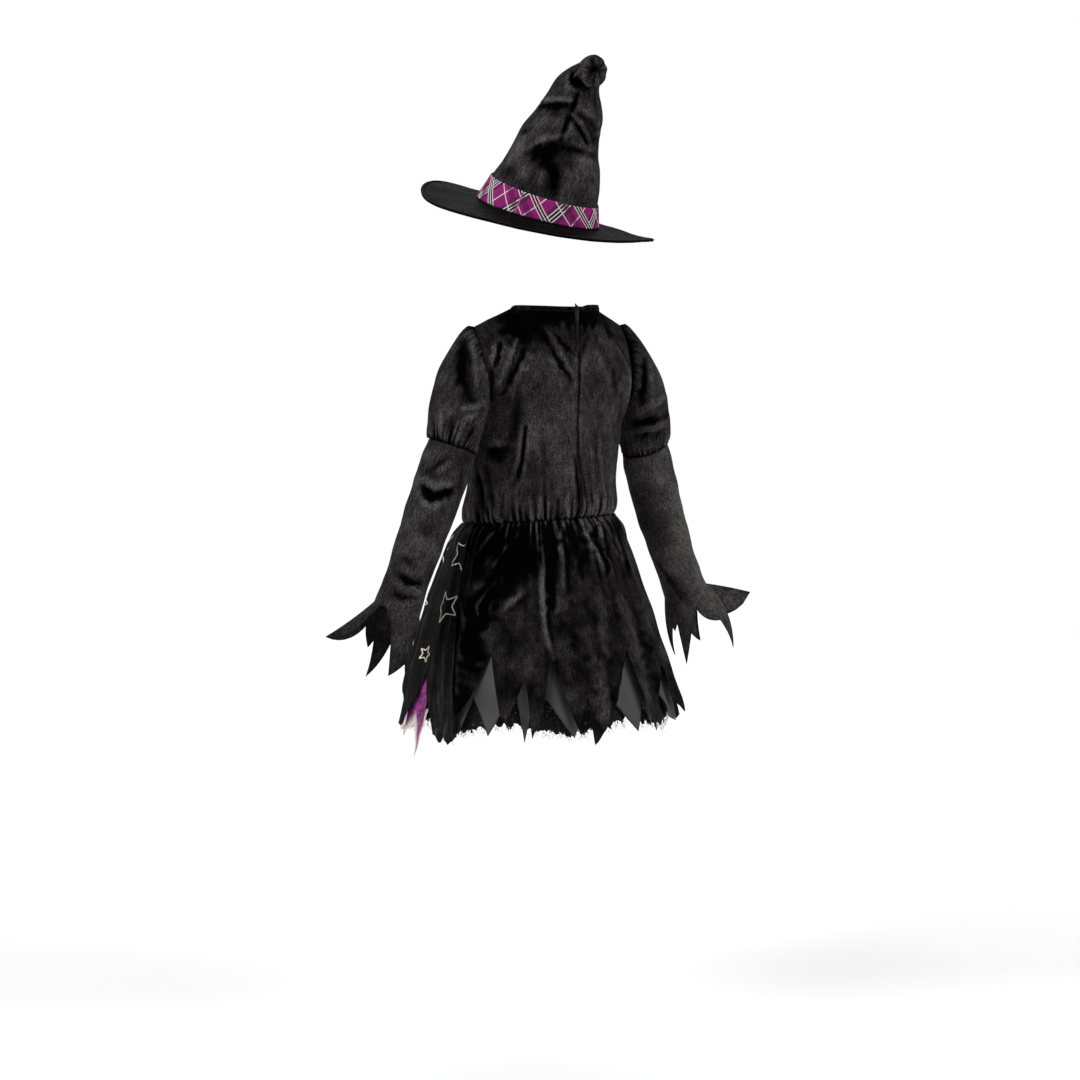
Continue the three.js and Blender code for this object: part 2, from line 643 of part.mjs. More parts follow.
function bodiceBack(arm) {
  const rows = bodiceQuarter(arm, 'back', QUARTER_SHARES);
  const end = QUARTER_SHARES.length - 1;
  rows.forEach((row) => { row[end].x = arm.side * SEAM_GAP / 2; });
  const across = (point, r, c) => (c === end ? vec(1, 0, 0) : sideSeam(r, QUARTER_SHARES[c]));
  return clothWall(rows, { thickness: VELVET, outward: bodiceOutward, across });
}

function bodiceFront() {
  const left = bodiceQuarter(ARMS.left, 'front', QUARTER_SHARES);
  const right = bodiceQuarter(ARMS.right, 'front', QUARTER_SHARES);
  const rows = left.map((row, r) => [...row, ...right[r].slice(0, -1).reverse()]);
  const shares = [...QUARTER_SHARES, ...QUARTER_SHARES.slice(0, -1).reverse()];
  const across = (point, r, c) => sideSeam(r, shares[c]);
  return clothWall(rows, { thickness: VELVET, outward: bodiceOutward, across });
}

// Sleeves

// The arm's own directions at the elbow seam: along it, outwards and backwards.
function armFrame(arm) {
  const elbow = vec(arm.side * arm.elbow[0], arm.elbow[1], arm.elbow[2]);
  const wrist = vec(arm.side * arm.wrist[0], arm.wrist[1], arm.wrist[2]);
  const along = wrist.clone().sub(elbow).normalize();
  const outward = vec(arm.side, 0, 0).addScaledVector(along, -arm.side * along.x).normalize();
  const backward = vec(0, 1, 0).addScaledVector(along, -along.y);
  backward.addScaledVector(outward, -outward.y).normalize();
  return { elbow, wrist, along, outward, backward };
}

function sleeveRing(frame, centre, radius, turn) {
  return centre.clone().addScaledVector(frame.outward, radius * Math.cos(turn * DEG))
    .addScaledVector(frame.backward, radius * Math.sin(turn * DEG));
}

const PUFF_SHARES = [0, 0.12, 0.32, 0.58, 0.84, 1];
const PUFF_COLUMNS = 36;
const PUFF_TOP_BULGE = 27;
const PUFF_UNDER_BULGE = 2;
const PUFF_BACK_BULGE = 5;

// The puffed upper sleeve, from the armhole to the seam above the elbow.
function sleevePuff(arm) {
  const frame = armFrame(arm);
  const half = PUFF_COLUMNS / 2;
  const rows = PUFF_SHARES.map((share) => Array.from({ length: PUFF_COLUMNS }, (_, c) => {
    const turn = (180 * c) / half;
    const start = armholeSeam(arm, turn <= 180 ? 'back' : 'front', Math.abs(1 - c / half));
    start.x += arm.side * SEAM_GAP;
    const end = sleeveRing(frame, frame.elbow, LOWER_SLEEVE[0].radius, turn);
    const top = (1 + Math.cos(turn * DEG)) / 2;
    const swell = share > 0 && share < 1 ? Math.sin(Math.PI * share ** 0.75) ** 0.6 : 0;
    const up = Math.cos(turn * DEG);
    const aside = Math.sin(turn * DEG);
    const bulge = mix(PUFF_UNDER_BULGE, PUFF_TOP_BULGE, top ** 0.9) + PUFF_BACK_BULGE * aside;
    const ends = Math.exp(-9 * share) + Math.exp(-9 * (1 - share));
    const wave = Math.cos((SLEEVE_GATHERS * turn + 20) * DEG);
    const gather = SLEEVE_GATHER_HEIGHT * ends * smooth(top * 2.5) * wave;
    const reach = share === 0 ? 0 : bulge * swell + gather;
    return start.lerp(end, share).addScaledVector(frame.outward, reach * Math.max(0, up))
      .addScaledVector(frame.backward, reach * aside);
  }));
  const outward = (point, r, c) => sleeveRing(frame, vec(0, 0, 0), 1, (180 * c) / half);
  return clothWall(rows, { thickness: VELVET, closed: true, outward });
}

const LOWER_ALONG = [0, 0.07, 0.22, 0.4, 0.6, 0.8, 1];
const FLAP_SHARES = [0.36, 0.72, 1];

// The lower sleeve: a plain tube whose wrist edge is cut into long points.
function sleeveLower(arm, cuff) {
  const frame = armFrame(arm);
  const hem = splitHem([...cuff, { ...cuff[0], turn: cuff[0].turn + 360 }], 16).slice(0, -1);
  const ring = (along, turn) => {
    const row = readTable(LOWER_SLEEVE, 'along', along);
    const middle = Math.sin(Math.PI * along);
    const crease = SLEEVE_CREASE * middle * Math.sin(along * 21 + 1.6 * Math.cos((turn - 60) * DEG));
    const centre = frame.elbow.clone().lerp(frame.wrist, along);
    centre.addScaledVector(frame.along, SEAM_GAP * (1 - along));
    centre.x += arm.side * arm.bow * middle;
    return sleeveRing(frame, centre, row.radius + crease, turn);
  };
  const tube = LOWER_ALONG.map((along) => hem.map((column) => ring(along, column.turn)));
  const way = (share) => vec(arm.side * share, 0, -Math.sqrt(1 - share ** 2));
  const flaps = FLAP_SHARES.map((share) => hem.map((column) => {
    const { length, out, hook } = column;
    return ring(1, column.turn).addScaledVector(way(out), length * (share - share ** 2 / 2))
      .addScaledVector(way(hook), (length * share ** 2) / 2);
  }));
  const outward = (point, r, c) => sleeveRing(frame, vec(0, 0, 0), 1, hem[c].turn);
  return clothWall([...tube, ...flaps], { thickness: VELVET, closed: true, outward });
}

// Hat

const HAT_COLUMNS = 36;
const BRIM_COLUMNS = 40;

// A ring of the crown: across it, the hat is narrower than from front to back near the head.
function crownPoint(up, turn) {
  const row = readTable(CROWN, 'up', up);
  const share = mix(CROWN_WIDTH_SHARE, 1, smooth(up / 90));
  const creased = CROWN_CREASE * smooth(up / 40) * smooth((200 - up) / 60);
  const crease = creased * Math.sin(up * 0.115 + 2 * Math.cos((turn + 40) * DEG));
  return ringPoint(row, row.radius + crease, share, turn);
}

// turn 0 is the wearer's left of the hat and turn 90 its back.
function ringPoint(row, radius, share, turn) {
  const back = radius * Math.sin(turn * DEG);
  const left = radius * share * Math.cos(turn * DEG);
  const lean = row.lean * DEG;
  const flop = Math.atan2(row.left, Math.max(row.back, 1));
  const along = back * Math.cos(flop) + left * Math.sin(flop);
  const across = left * Math.cos(flop) - back * Math.sin(flop);
  const level = along * Math.cos(lean);
  return vec(
    row.left + level * Math.sin(flop) + across * Math.cos(flop),
    row.back + level * Math.cos(flop) - across * Math.sin(flop),
    row.up - along * Math.sin(lean),
  );
}

function crownRing(r) {
  return Array.from({ length: HAT_COLUMNS }, (_, c) => {
    const turn = (360 * c) / HAT_COLUMNS;
    const row = CROWN[r];
    return r === 0 ? ringPoint(row, row.radius, CROWN_WIDTH_SHARE, turn) : crownPoint(row.up, turn);
  });
}

function hatCrown() {
  const rows = CROWN.map((row, r) => crownRing(r));
  const outward = (point, r) => {
    const { left, back, up } = CROWN[r];
    return point.clone().sub(vec(left, back, r < CROWN.length - 2 ? up - 4 : up));
  };
  const across = (point, r) => (r === 0 ? vec(0, 0, 1) : null);
  return clothWall(rows, { thickness: CROWN_WALL, closed: true, endCap: true, outward, across });
}

// The band lies on the crown's lowest stretch, from the brim up.
function hatBand() {
  const foot = crownRing(0);
  const head = crownRing(1);
  const rows = [0.98, 0.5, 0.02].map((share) => foot.map((point, c) => {
    const on = point.clone().lerp(head[c], share);
    return on.addScaledVector(vec(on.x, on.y, 0).normalize(), BAND_WALL + SEAM_GAP);
  }));
  const outward = (point) => vec(point.x, point.y, 0);
  return clothWall(rows, { thickness: BAND_WALL, closed: true, outward, across: () => vec(0, 0, 1) });
}

function hatBrim() {
  const inner = CROWN[0].radius - CROWN_WALL;
  const rows = BRIM_SHARES.map((share) => Array.from({ length: BRIM_COLUMNS }, (_, c) => {
    const turn = (360 * c) / BRIM_COLUMNS;
    const back = mix(inner, BRIM_RADIUS, share) * Math.sin(turn * DEG);
    const left = mix(inner * CROWN_WIDTH_SHARE, BRIM_RADIUS, share) * Math.cos(turn * DEG);
    return vec(left, back, -readTable(BRIM_EDGE, 'turn', turn).droop * share ** 1.4);
  }));
  return clothWall(rows, { thickness: BRIM_THICKNESS, closed: true, outward: () => vec(0, 0, 1) });
}

// Assembly

const hat = new THREE.Group();
hat.position.set(...HAT_PLACE);
hat.rotation.set(HAT_TILT * DEG, HAT_ROLL * DEG, HAT_TURN * DEG, 'ZXY');
hat.add(
  piece('hat_crown', hatCrown(), 'velvet'),
  piece('hat_band', hatBand(), 'plaid'),
  piece('hat_brim', hatBrim(), 'velvet'),
);

const dress = new THREE.Group();
dress.add(
  piece('bodice_front', bodiceFront(), 'velvet'),
  piece('bodice_back_left', bodiceBack(ARMS.left), 'velvet'),
  piece('bodice_back_right', bodiceBack(ARMS.right), 'velvet'),
  piece('sleeve_puff_left', sleevePuff(ARMS.left), 'velvet'),
  piece('sleeve_puff_right', sleevePuff(ARMS.right), 'velvet'),
  piece('sleeve_lower_left', sleeveLower(ARMS.left, CUFF_LEFT), 'velvet'),
  piece('sleeve_lower_right', sleeveLower(ARMS.right, CUFF_RIGHT), 'velvet'),
  piece('skirt_velvet', velvetSkirt(), 'velvet'),
  piece('skirt_star_overlay', starOverlay(), 'starNet'),
  piece('skirt_glitter_net', glitterNetFront(), 'glitterNet'),
  piece('underskirt_satin', satinSkirt(), 'satin'),
  piece('petticoat_net', netPetticoat(), 'net'),
);

const costume = new THREE.Group();
costume.add(dress, hat);

export default costume;
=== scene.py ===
"""A child's witch costume, worn with no wearer: black velvet dress, ragged skirt over net, and pointed hat.

Forms are worked out in millimetres, from the same named sizes and tables as the solids, and made in metres.
"""
import math

import bmesh
import bpy
import numpy as np
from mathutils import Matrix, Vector


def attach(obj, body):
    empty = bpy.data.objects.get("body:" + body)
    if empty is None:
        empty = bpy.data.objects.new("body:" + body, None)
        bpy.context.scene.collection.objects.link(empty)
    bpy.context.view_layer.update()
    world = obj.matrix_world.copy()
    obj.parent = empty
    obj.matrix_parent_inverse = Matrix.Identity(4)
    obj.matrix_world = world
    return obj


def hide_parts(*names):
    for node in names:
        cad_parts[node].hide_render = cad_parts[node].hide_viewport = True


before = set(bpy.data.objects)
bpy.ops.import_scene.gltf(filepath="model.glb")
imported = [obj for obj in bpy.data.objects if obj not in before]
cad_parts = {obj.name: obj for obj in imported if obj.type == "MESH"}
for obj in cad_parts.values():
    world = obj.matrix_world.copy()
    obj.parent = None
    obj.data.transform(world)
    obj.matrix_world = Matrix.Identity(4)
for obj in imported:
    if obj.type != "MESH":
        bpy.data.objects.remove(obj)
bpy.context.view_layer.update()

MM = 0.001
DEG = math.pi / 180

# Driving sizes, in millimetres
WAIST_Z = -306
WAIST_DIP = 7
WAIST_DIP_TURN = 286
HEM_Z = -600
HEM_SPLIT_Z = -476
ARMPIT_Z = -165
SEAM_GAP = 0.4
FLUTES = 18
FLUTE_AT_WAIST = 0.6
FLUTE_AT_HEM = 7
WAIST_GATHERS = 32
GATHER_HEIGHT = 1.5
BLOUSE_FOLDS = 15
BLOUSE_FOLD_HEIGHT = 1.6
SLEEVE_GATHERS = 10
SLEEVE_GATHER_HEIGHT = 1.9
PUFF_LENGTH = 175
LOWER_LENGTH = 240
HAT_PLACE = (8, -24, 134.5)
HAT_TILT, HAT_ROLL, HAT_TURN = -16.5, 4, 30
BRIM_RADIUS = 171
CROWN_RADIUS = 90
CROWN_FOOT = -1.6
CROWN_WALL = 1.8
CROWN_CREASE = 0.4
HEAD_SHARE = 0.88
BAND_HEIGHT = 34.0
FLOOR_Z = -1040

# The middle of the waist, of the skirt and of the bodice, from front to back
WAIST_Y, SKIRT_Y, BODICE_Y = -30, -31, -18

# Studio: the lights' width in degrees, the light of the room around, and the floor's half width in metres
SCREEN_WIDTH = 40
ROOM_LIGHT = 0.25
FLOOR_REACH = 4.0

# How much painted highlight the pile's colour gets for each millimetre that a fold stands up, and painted
# shade for each millimetre of a trough
FOLD_SHADE = 0.1

# How much painted light goes into the pile's colour where a fold turns it to the light, and painted shade
# where it turns away, for a slope of one in one
FACING_SHADE = 0.85

# How much fine changes of painted light, and of height, stand out from the broad ones
CRISP_LIGHT = 1.1
CRISP_HEIGHT = 0.12

# Cloth thicknesses
VELVET, SATIN, NET, STRIP, BRIM = 1.2, 0.6, 0.4, 0.8, 3.0


class Table:
    """Rows of numbers under named columns, read at values of the first column."""

    def __init__(self, columns, *rows):
        self.names = columns.split()
        self.rows = np.array(sorted(rows), float)

    def column(self, name):
        return self.rows[:, self.names.index(name)]

    def straight(self, name, key):
        """Straight lines from row to row."""
        return np.interp(key, self.rows[:, 0], self.column(name))

    def at(self, name, key):
        """A smooth line through the rows."""
        x, y = self.rows[:, 0], self.column(name)
        slope = np.empty_like(y)
        slope[1:-1] = (y[2:] - y[:-2]) / (x[2:] - x[:-2])
        slope[0] = (y[1] - y[0]) / (x[1] - x[0])
        slope[-1] = (y[-1] - y[-2]) / (x[-1] - x[-2])
        key = np.clip(key, x[0], x[-1])
        i = np.clip(np.searchsorted(x, key, side="right") - 1, 0, len(x) - 2)
        width = x[i + 1] - x[i]
        t = (key - x[i]) / width
        return (y[i] * (2 * t**3 - 3 * t**2 + 1) + slope[i] * width * (t**3 - 2 * t**2 + t)
                + y[i + 1] * (3 * t**2 - 2 * t**3) + slope[i + 1] * width * (t**3 - t**2))

    def spread(self, step):
        """The first column's values, with every stretch between rows cut into parts of at most one step."""
        x = self.rows[:, 0]
        parts = [np.linspace(a, b, math.ceil((b - a) / step - 1e-6), endpoint=False)
                 for a, b in zip(x, x[1:])]
        return np.append(np.concatenate(parts), x[-1])


TRUNK = Table(
    "z side back mid front",
    (-306, 114, 62, -30, -119),
    (-299, 118, 67, -30, -122),
    (-284, 120, 69, -29, -122),
    (-258, 117, 66, -26, -114),
    (-215, 121, 61, -18, -103),
    (-165, 126, 59, -12, -93),
)
SKIRT = Table(
    "z side depth mid",
    (-306, 116, 92, -30),
    (-322, 129, 106, -31),
    (-350, 139, 119, -33),
    (-400, 155, 138, -33),
    (-450, 170, 155, -32),
    (-500, 184, 170, -31),
    (-550, 197, 184, -30),
    (-640, 218, 205, -29),
)
# The seam gap at the waist, in degrees
SEAM_TURN = SEAM_GAP / SKIRT.column("side")[-1] / DEG
VELVET_HEM = Table(
    "turn z lean curl",
    (0, -566, 0, 0),
    (8, -562, 0, 0),
    (16, -582, 0, 0),
    (22.7, -547, 0, 0),
    (30.6, -481, 0, 0),
    (37.9, -566, 0, 4),
    (40.6, -570, 0, 4),
    (44.3, -543, 0, 3),
    (47.8, -512, 0, 1),
    (50.5, -598, 0, 5),
    (54.4, -563, 0, 4),
    (58.9, -485, 0, 0),
    (64.2, -536, 0, 3),
    (69.4, -586, 0, 5),
    (74.4, -541, -0.5, 3),
    (76.8, -607, -2.6, 8),
    (80.6, -586, -1, 6),
    (84.9, -553, 0, 3),
    (87, -564, 0, 4),
    (89.2, -553, 0, 3),
    (98.2, -481, 0, 0),
    (100.4, -530, 0, 2),
    (105, -597, 0, 5),
    (112.6, -582, 0, 4),
    (121.4, -510, 0, 1),
    (131, -552, 0, 4),
    (139, -588, 0, 6),
    (148, -512, 0, 0),
    (157, -594, 0, 0),
    (165, -498, 0, 0),
    (173, -586, 0, 0),
    (180, -560, 0, 0),
)
SATIN_FRONT = [(180 + 9 * i, -552 if i % 2 else -600) for i in range(20)]
SATIN_HEM = Table(
    "turn z",
    (0, -552),
    (8, -590),
    (14, -560),
    (18.7, -598),
    (23.5, -545),
    (31.6, -598),
    (39.5, -552),
    (43.8, -540),
    (47.4, -606),
    (50.4, -556),
    (56.7, -546),
    (68.3, -600),
    (74, -556),
    (80, -584),
    (88, -552),
    (98.3, -598),
    (103, -560),
    (110, -590),
    (118.3, -552),
    (128, -586),
    (137.7, -600),
    (144, -548),
    (150, -596),
    (158, -550),
    (166, -600),
    (174, -556),
    *SATIN_FRONT,
    (360, -552),
)
OVERLAY_HALF = [
    (21, -598),
    (17, -610),
    (13, -602),
    (9, -611),
    (5.5, -600),
    (3.5, -556),
    (-5, -492),
    (-12, -548),
    (-16, -592),
    (-25, -600),
    (-34, -556),
    (-42, -506),
    (-50, -560),
    (-59, -604),
    (-68, -562),
    (-75, -516),
    (-82, -570),
    (-90, -606),
]
OVERLAY_HEM = Table("turn z", *OVERLAY_HALF, *[(-180 - turn, z) for turn, z in OVERLAY_HALF[:-1]])
OVERLAY_EDGE = Table("z turn", (-605, 21), (-483, 11), (-431, 8), (-373, 6), (-306, 2))
CUFF_LEFT = Table(
    "turn length out hook",
    (-36, 93, 0.84, 0.92),
    (-12, 22, 0.6, 0.5),
    (6, 3, 0.3, 0.3),
    (26, 3, 0.2, 0.2),
    (42, 24, 0.1, 0.1),
    (50, 97, -0.06, 0.34),
    (72, 74, 0, 0),
    (79, 88, 0, 0.1),
    (88, 62, 0, 0),
    (102, 28, 0, 0),
    (124, 14, 0, 0),
    (165, 14, 0, 0),
    (207, 62, 0, 0),
    (232, 22, 0, 0),
    (262, 108, 0.06, 0.6),
    (284, 52, 0.2, 0.2),
    (296, 64, 0.3, 0.2),
    (306, 36, 0.5, 0.4),
    (324, 93, 0.84, 0.92),
)
CUFF_RIGHT = Table(
    "turn length out hook",
    (-32, 122, 0.99, 0.97),
    (-6, 16, 0.6, 0.4),
    (20, 32, 0.85, 0.6),
    (58, 124, 0.88, 0),
    (82, 56, 0.8, 0.5),
    (103, 16, 0.1, 0),
    (111, 65, 0.2, 0.22),
    (118, 50, 0.05, 0),
    (129, 96, 0, 0),
    (164, 10, 0, 0),
    (198, 86, 0.14, 0.26),
    (232, 14, 0, 0),
    (268, 66, 0.15, 0.1),
    (298, 14, 0.4, 0.3),
    (328, 122, 0.99, 0.97),
)
SLEEVE = Table(
    "along radius",
    (0, 34),
    (0.12, 36.5),
    (0.3, 36),
    (0.55, 34),
    (0.82, 31.5),
    (1, 33.5),
)
CROWN = Table(
    "up back left radius lean",
    (0.6, -1, 0, 90, 0),
    (34, 2, 0, 79, 3),
    (56, 6, 0, 73, 2),
    (76, 6, 0, 67, 0),
    (94, 6, 1, 61, 2),
    (112, 8, 2, 57, 6),
    (136, 12, 2, 49.5, 8),
    (160, 17, 3, 43.5, 12),
    (181, 18, 5, 37, 22),
    (197, 23, 8, 28, 38),
    (208, 30, 13, 22, 52),
    (216, 38, 20, 22.5, 66),
    (220, 45, 29, 19, 78),
    (221, 49, 35, 9, 84),
)
BRIM_EDGE = Table(
    "turn droop",
    (0, 4),
    (45, -2),
    (75, -7),
    (90, -8),
    (105, -4),
    (120, 2),
    (135, 10),
    (150, 18),
    (165, 20),
    (190, 22),
    (225, 16),
    (270, 2),
    (315, 11),
    (360, 4),
)


# Camera, light and floor

def studio():
    """The camera stands behind the wearer's left shoulder, a little above the waist."""
    azimuth, elevation, distance = 142 * DEG, 5 * DEG, 4.2
    target = Vector((0, -0.030, -0.338))
    away = Vector((math.sin(azimuth) * math.cos(elevation), -math.cos(azimuth) * math.cos(elevation),
                   math.sin(elevation)))
    camera = bpy.data.objects.new("camera", bpy.data.cameras.new("camera"))
    camera.location = target + distance * away
    camera.rotation_euler = (-away).to_track_quat("-Z", "Y").to_euler()
    camera.data.sensor_width = 36
    camera.data.lens = 96.55
    bpy.context.scene.collection.objects.link(camera)
    bpy.context.scene.camera = camera

    def soft_sun(name, turn, rise, strength):
        """Light from one side, as even as a wide screen's: turn 0 is the wearer's front and 90 their left."""
        sun = bpy.data.objects.new(name, bpy.data.lights.new(name, "SUN"))
        sun.data.energy = strength
        sun.data.angle = SCREEN_WIDTH * DEG
        level = math.cos(rise * DEG)
        towards = Vector((math.sin(turn * DEG) * level, -math.cos(turn * DEG) * level, math.sin(rise * DEG)))
        sun.rotation_euler = towards.to_track_quat("Z", "Y").to_euler()
        bpy.context.scene.collection.objects.link(sun)

    soft_sun("left_light", 84, 32, 2.6)
    soft_sun("right_light", 214, 30, 2.0)
    soft_sun("front_light", 320, 40, 1.2)

    world = bpy.data.worlds.new("studio")
    bpy.context.scene.world = world
    net = Net(world)
    seen = net.node("ShaderNodeLightPath")
    net.finish(Color=(1, 1, 1, 1), Strength=seen * (1 - ROOM_LIGHT) + ROOM_LIGHT)
    bpy.context.scene.view_settings.view_transform = "Standard"

    mesh = bpy.data.meshes.new("floor")
    corners = [(-1, -1, 0), (1, -1, 0), (1, 1, 0), (-1, 1, 0)]
    mesh.from_pydata([tuple(FLOOR_REACH * c for c in corner) for corner in corners], [], [(0, 1, 2, 3)])
    floor = bpy.data.objects.new("floor", mesh)
    floor.location.z = FLOOR_Z * MM
    bpy.context.scene.collection.objects.link(floor)
    return floor


# Small helpers on arrays

def mix(a, b, t):
    return a + (b - a) * t


def smooth(t):
    t = np.clip(t, 0, 1)
    return t * t * (3 - 2 * t)


def hump(x, middle, width):
    """1 at the middle, falling to nearly 0 at twice the width from it."""
    return np.exp(-(((x - middle) / width) ** 2))


def vec(x, y, z):
    return np.stack(np.broadcast_arrays(x, y, z), -1).astype(float)


def unit(v):
    return v / np.maximum(np.linalg.norm(v, axis=-1, keepdims=True), 1e-9)


def ripple(u, v, size, height, seed, waves=7):
    """Gentle unevenness over a surface: a few plane waves of about one size, in random directions."""
    chance = np.random.default_rng(seed)
    total = 0.0
    for _ in range(waves):
        turn = chance.uniform(0, 2 * math.pi)
        length = size * chance.uniform(0.7, 1.5)
        phase = chance.uniform(0, 2 * math.pi)
        total = total + np.sin((u * math.cos(turn) + v * math.sin(turn)) * 2 * math.pi / length + phase)
    return height * total / math.sqrt(waves)


# Sheets of cloth

def grid_normals(points, closed, outward):
    """Which way the cloth faces at each point of a grid."""
    if closed:
        across = np.roll(points, -1, 1) - np.roll(points, 1, 1)
    else:
        across = np.gradient(points, axis=1)
    normals = unit(np.cross(across, np.gradient(points, axis=0)))
    return normals * np.where((normals * outward).sum(-1, keepdims=True) < 0, -1, 1)


def raised(points, height, outward, closed=False):
    """The grid moved out along its own normals."""
    return points + grid_normals(points, closed, outward) * np.asarray(height)[..., None]


def cloth(name, points, outward, thickness, closed=False, tip=False, **facts):
    """A sheet from a grid of points in millimetres, rows running down it and columns across it.

    The points are its outer face. Each fact is a number for every point, which the materials read by name.
    """
    rows, columns = points.shape[:2]
    index = np.arange(rows * columns).reshape(rows, columns)
    ring = np.hstack([index, index[:, :1]]) if closed else index
    faces = np.stack([ring[:-1, :-1], ring[1:, :-1], ring[1:, 1:], ring[:-1, 1:]], -1).reshape(-1, 4)
    flat = points.reshape(-1, 3)
    a, b, c, d = (flat[faces[:, i]] for i in range(4))
    facing = (np.cross(c - a, d - b) * outward.reshape(-1, 3)[faces[:, 0]]).sum()
    if facing < 0:
        faces = faces[:, ::-1]
    faces = faces.tolist()
    down = np.vstack([np.zeros((1, columns)), np.cumsum(np.linalg.norm(np.diff(points, axis=0), axis=2), 0)])
    around = np.cumsum(np.linalg.norm(np.diff(points, axis=1, prepend=points[:, :1]), axis=2), 1).mean(0)
    facts = {"down": down * MM, "around": np.broadcast_to(around, (rows, columns)) * MM, **facts}
    values = {key: np.broadcast_to(value, (rows, columns)).reshape(-1) for key, value in facts.items()}
    if tip:
        flat = np.vstack([flat, points[-1].mean(0)])
        values = {key: np.append(value, value[-1]) for key, value in values.items()}
        last = ring[-1]
        fan = [(last[i], last[i + 1], len(flat) - 1) for i in range(columns)]
        faces += [f if facing > 0 else f[::-1] for f in fan]
    mesh = bpy.data.meshes.new(name)
    mesh.from_pydata((flat * MM).tolist(), [], faces)
    mesh.shade_smooth()
    for key, value in values.items():
        mesh.attributes.new(key, "FLOAT", "POINT").data.foreach_set("value", value.astype(np.float32))
    piece = bpy.data.objects.new(name, mesh)
    bpy.context.scene.collection.objects.link(piece)
    solid = piece.modifiers.new("thickness", "SOLIDIFY")
    solid.thickness = thickness * MM
    solid.offset = -1
    return piece


# Shader kit

class Net:
    """The nodes of one material, or of the room: maths on its sockets is written as plain expressions."""

    def __init__(self, owner):
        owner.use_nodes = True
        self.owner = owner
        self.tree = owner.node_tree
        self.shader = self.tree.nodes.get("Principled BSDF") or self.tree.nodes["Background"]

    def node(self, kind, settings=None, output=0, **sockets):
        """Any node: first its settings, then its sockets' values or links, by name or as _0, _1 and so on."""
        made = self.tree.nodes.new(kind)
        for key, value in (settings or {}).items():
            setattr(made, key, value)
        for key, value in sockets.items():
            socket = made.inputs[int(key[1:])] if key[0] == "_" else made.inputs[key.replace("_", " ")]
            self.feed(socket, value)
        return Wire(self, made.outputs[output])

    def feed(self, socket, value):
        if isinstance(value, Wire):
            self.tree.links.new(value.socket, socket)
        else:
            socket.default_value = value

    def fact(self, name):
        """A number that the cloth carries at every point, such as its distance down the sheet in metres."""
        return self.node("ShaderNodeAttribute", {"attribute_name": name}, output=2)

    def place(self):
        return self.node("ShaderNodeTexCoord", output=3)

    def vector(self, x, y, z=0.0):
        return self.node("ShaderNodeCombineXYZ", X=x, Y=y, Z=z)

    def noise(self, where, scale, detail=2.0, roughness=0.5):
        return self.node("ShaderNodeTexNoise", Vector=where, Scale=scale, Detail=detail, Roughness=roughness)

    def mix_colour(self, share, a, b):
        return self.node("ShaderNodeMix", {"data_type": "RGBA"}, output=2, _0=share, _6=a, _7=b)

    def bump(self, height, distance, strength=1.0, normal=None):
        sockets = {"Height": height, "Distance": distance, "Strength": strength}
        if normal is not None:
            sockets["Normal"] = normal
        return self.node("ShaderNodeBump", **sockets)

    def finish(self, **sockets):
        """Sets the shader's own sockets, by name."""
        for key, value in sockets.items():
            self.feed(self.shader.inputs[key.replace("_", " ")], value)
        return self.owner


class Wire:
    """A socket's value; + - * / and ** on it add Math nodes."""

    def __init__(self, net, socket):
        self.net = net
        self.socket = socket

    def maths(self, operation, *values):
        sockets = {f"_{i}": value for i, value in enumerate(values)}
        return self.net.node("ShaderNodeMath", {"operation": operation}, **sockets)

    def __add__(self, other):
        return self.maths("ADD", self, other)

    def __sub__(self, other):
        return self.maths("SUBTRACT", self, other)

    def __rsub__(self, other):
        return self.maths("SUBTRACT", other, self)

    def __mul__(self, other):
        return self.maths("MULTIPLY", self, other)

    def __truediv__(self, other):
        return self.maths("DIVIDE", self, other)

    def __pow__(self, other):
        return self.maths("POWER", self, other)

    def __abs__(self):
        return self.maths("ABSOLUTE", self)

    def sine(self):
        return self.maths("SINE", self)

    def fraction(self):
        return self.maths("FRACT", self)

    def above(self, limit):
        return self.maths("GREATER_THAN", self, limit)

    def least(self, other):
        return self.maths("MINIMUM", self, other)

    def most(self, other):
        return self.maths("MAXIMUM", self, other)

    def ramp(self, low, high, first=0.0, last=1.0):
        """Goes smoothly from first to last while this value goes from low to high."""
        return self.net.node("ShaderNodeMapRange", {"interpolation_type": "SMOOTHSTEP"},
                             _0=self, _1=low, _2=high, _3=first, _4=last)


# Colours of the cloths, dyes, prints and floor
# The velvet's colour runs between these two by its pile lay and by painted light and shade
PILE_DARK, PILE_LIGHT = (0.0006, 0.0005, 0.0006, 1), (0.09, 0.082, 0.083, 1)
SATIN_DARK, SATIN_LIGHT = (0.023, 0.0215, 0.022, 1), (0.032, 0.0305, 0.0312, 1)
NET_DARK, NET_LIGHT = (0.0012, 0.0012, 0.0012, 1), (0.022, 0.021, 0.022, 1)
# The knit's colour runs between these two by its crinkle and by painted light and shade
KNIT_DARK, KNIT_LIGHT = (0.0012, 0.0012, 0.0014, 1), (0.052, 0.051, 0.055, 1)
DYED_DARK, DYED_LIGHT = (0.05, 0.005, 0.04, 1), (0.26, 0.016, 0.19, 1)
CASING, PALE_TIP, GLITTER = (0.003, 0.003, 0.003, 1), (0.66, 0.6, 0.54, 1), (0.85, 0.2, 0.75, 1)
PRINT_WHITE, PRINT_GOLD = (0.8, 0.77, 0.72, 1), (0.46, 0.33, 0.17, 1)
THREAD_DARK, THREAD_LIGHT = (0.004, 0.004, 0.004, 1), (0.03, 0.029, 0.03, 1)
CREAM, CREAM_DYED = (0.6, 0.54, 0.48, 1), (0.42, 0.1, 0.3, 1)
MAGENTA, VIOLET, WORN_DYE = (0.27, 0.016, 0.15, 1), (0.09, 0.01, 0.07, 1), (0.4, 0.2, 0.3, 1)
BLACK_DYE, WHITE_DYE = (0.012, 0.008, 0.012, 1), (0.85, 0.8, 0.78, 1)
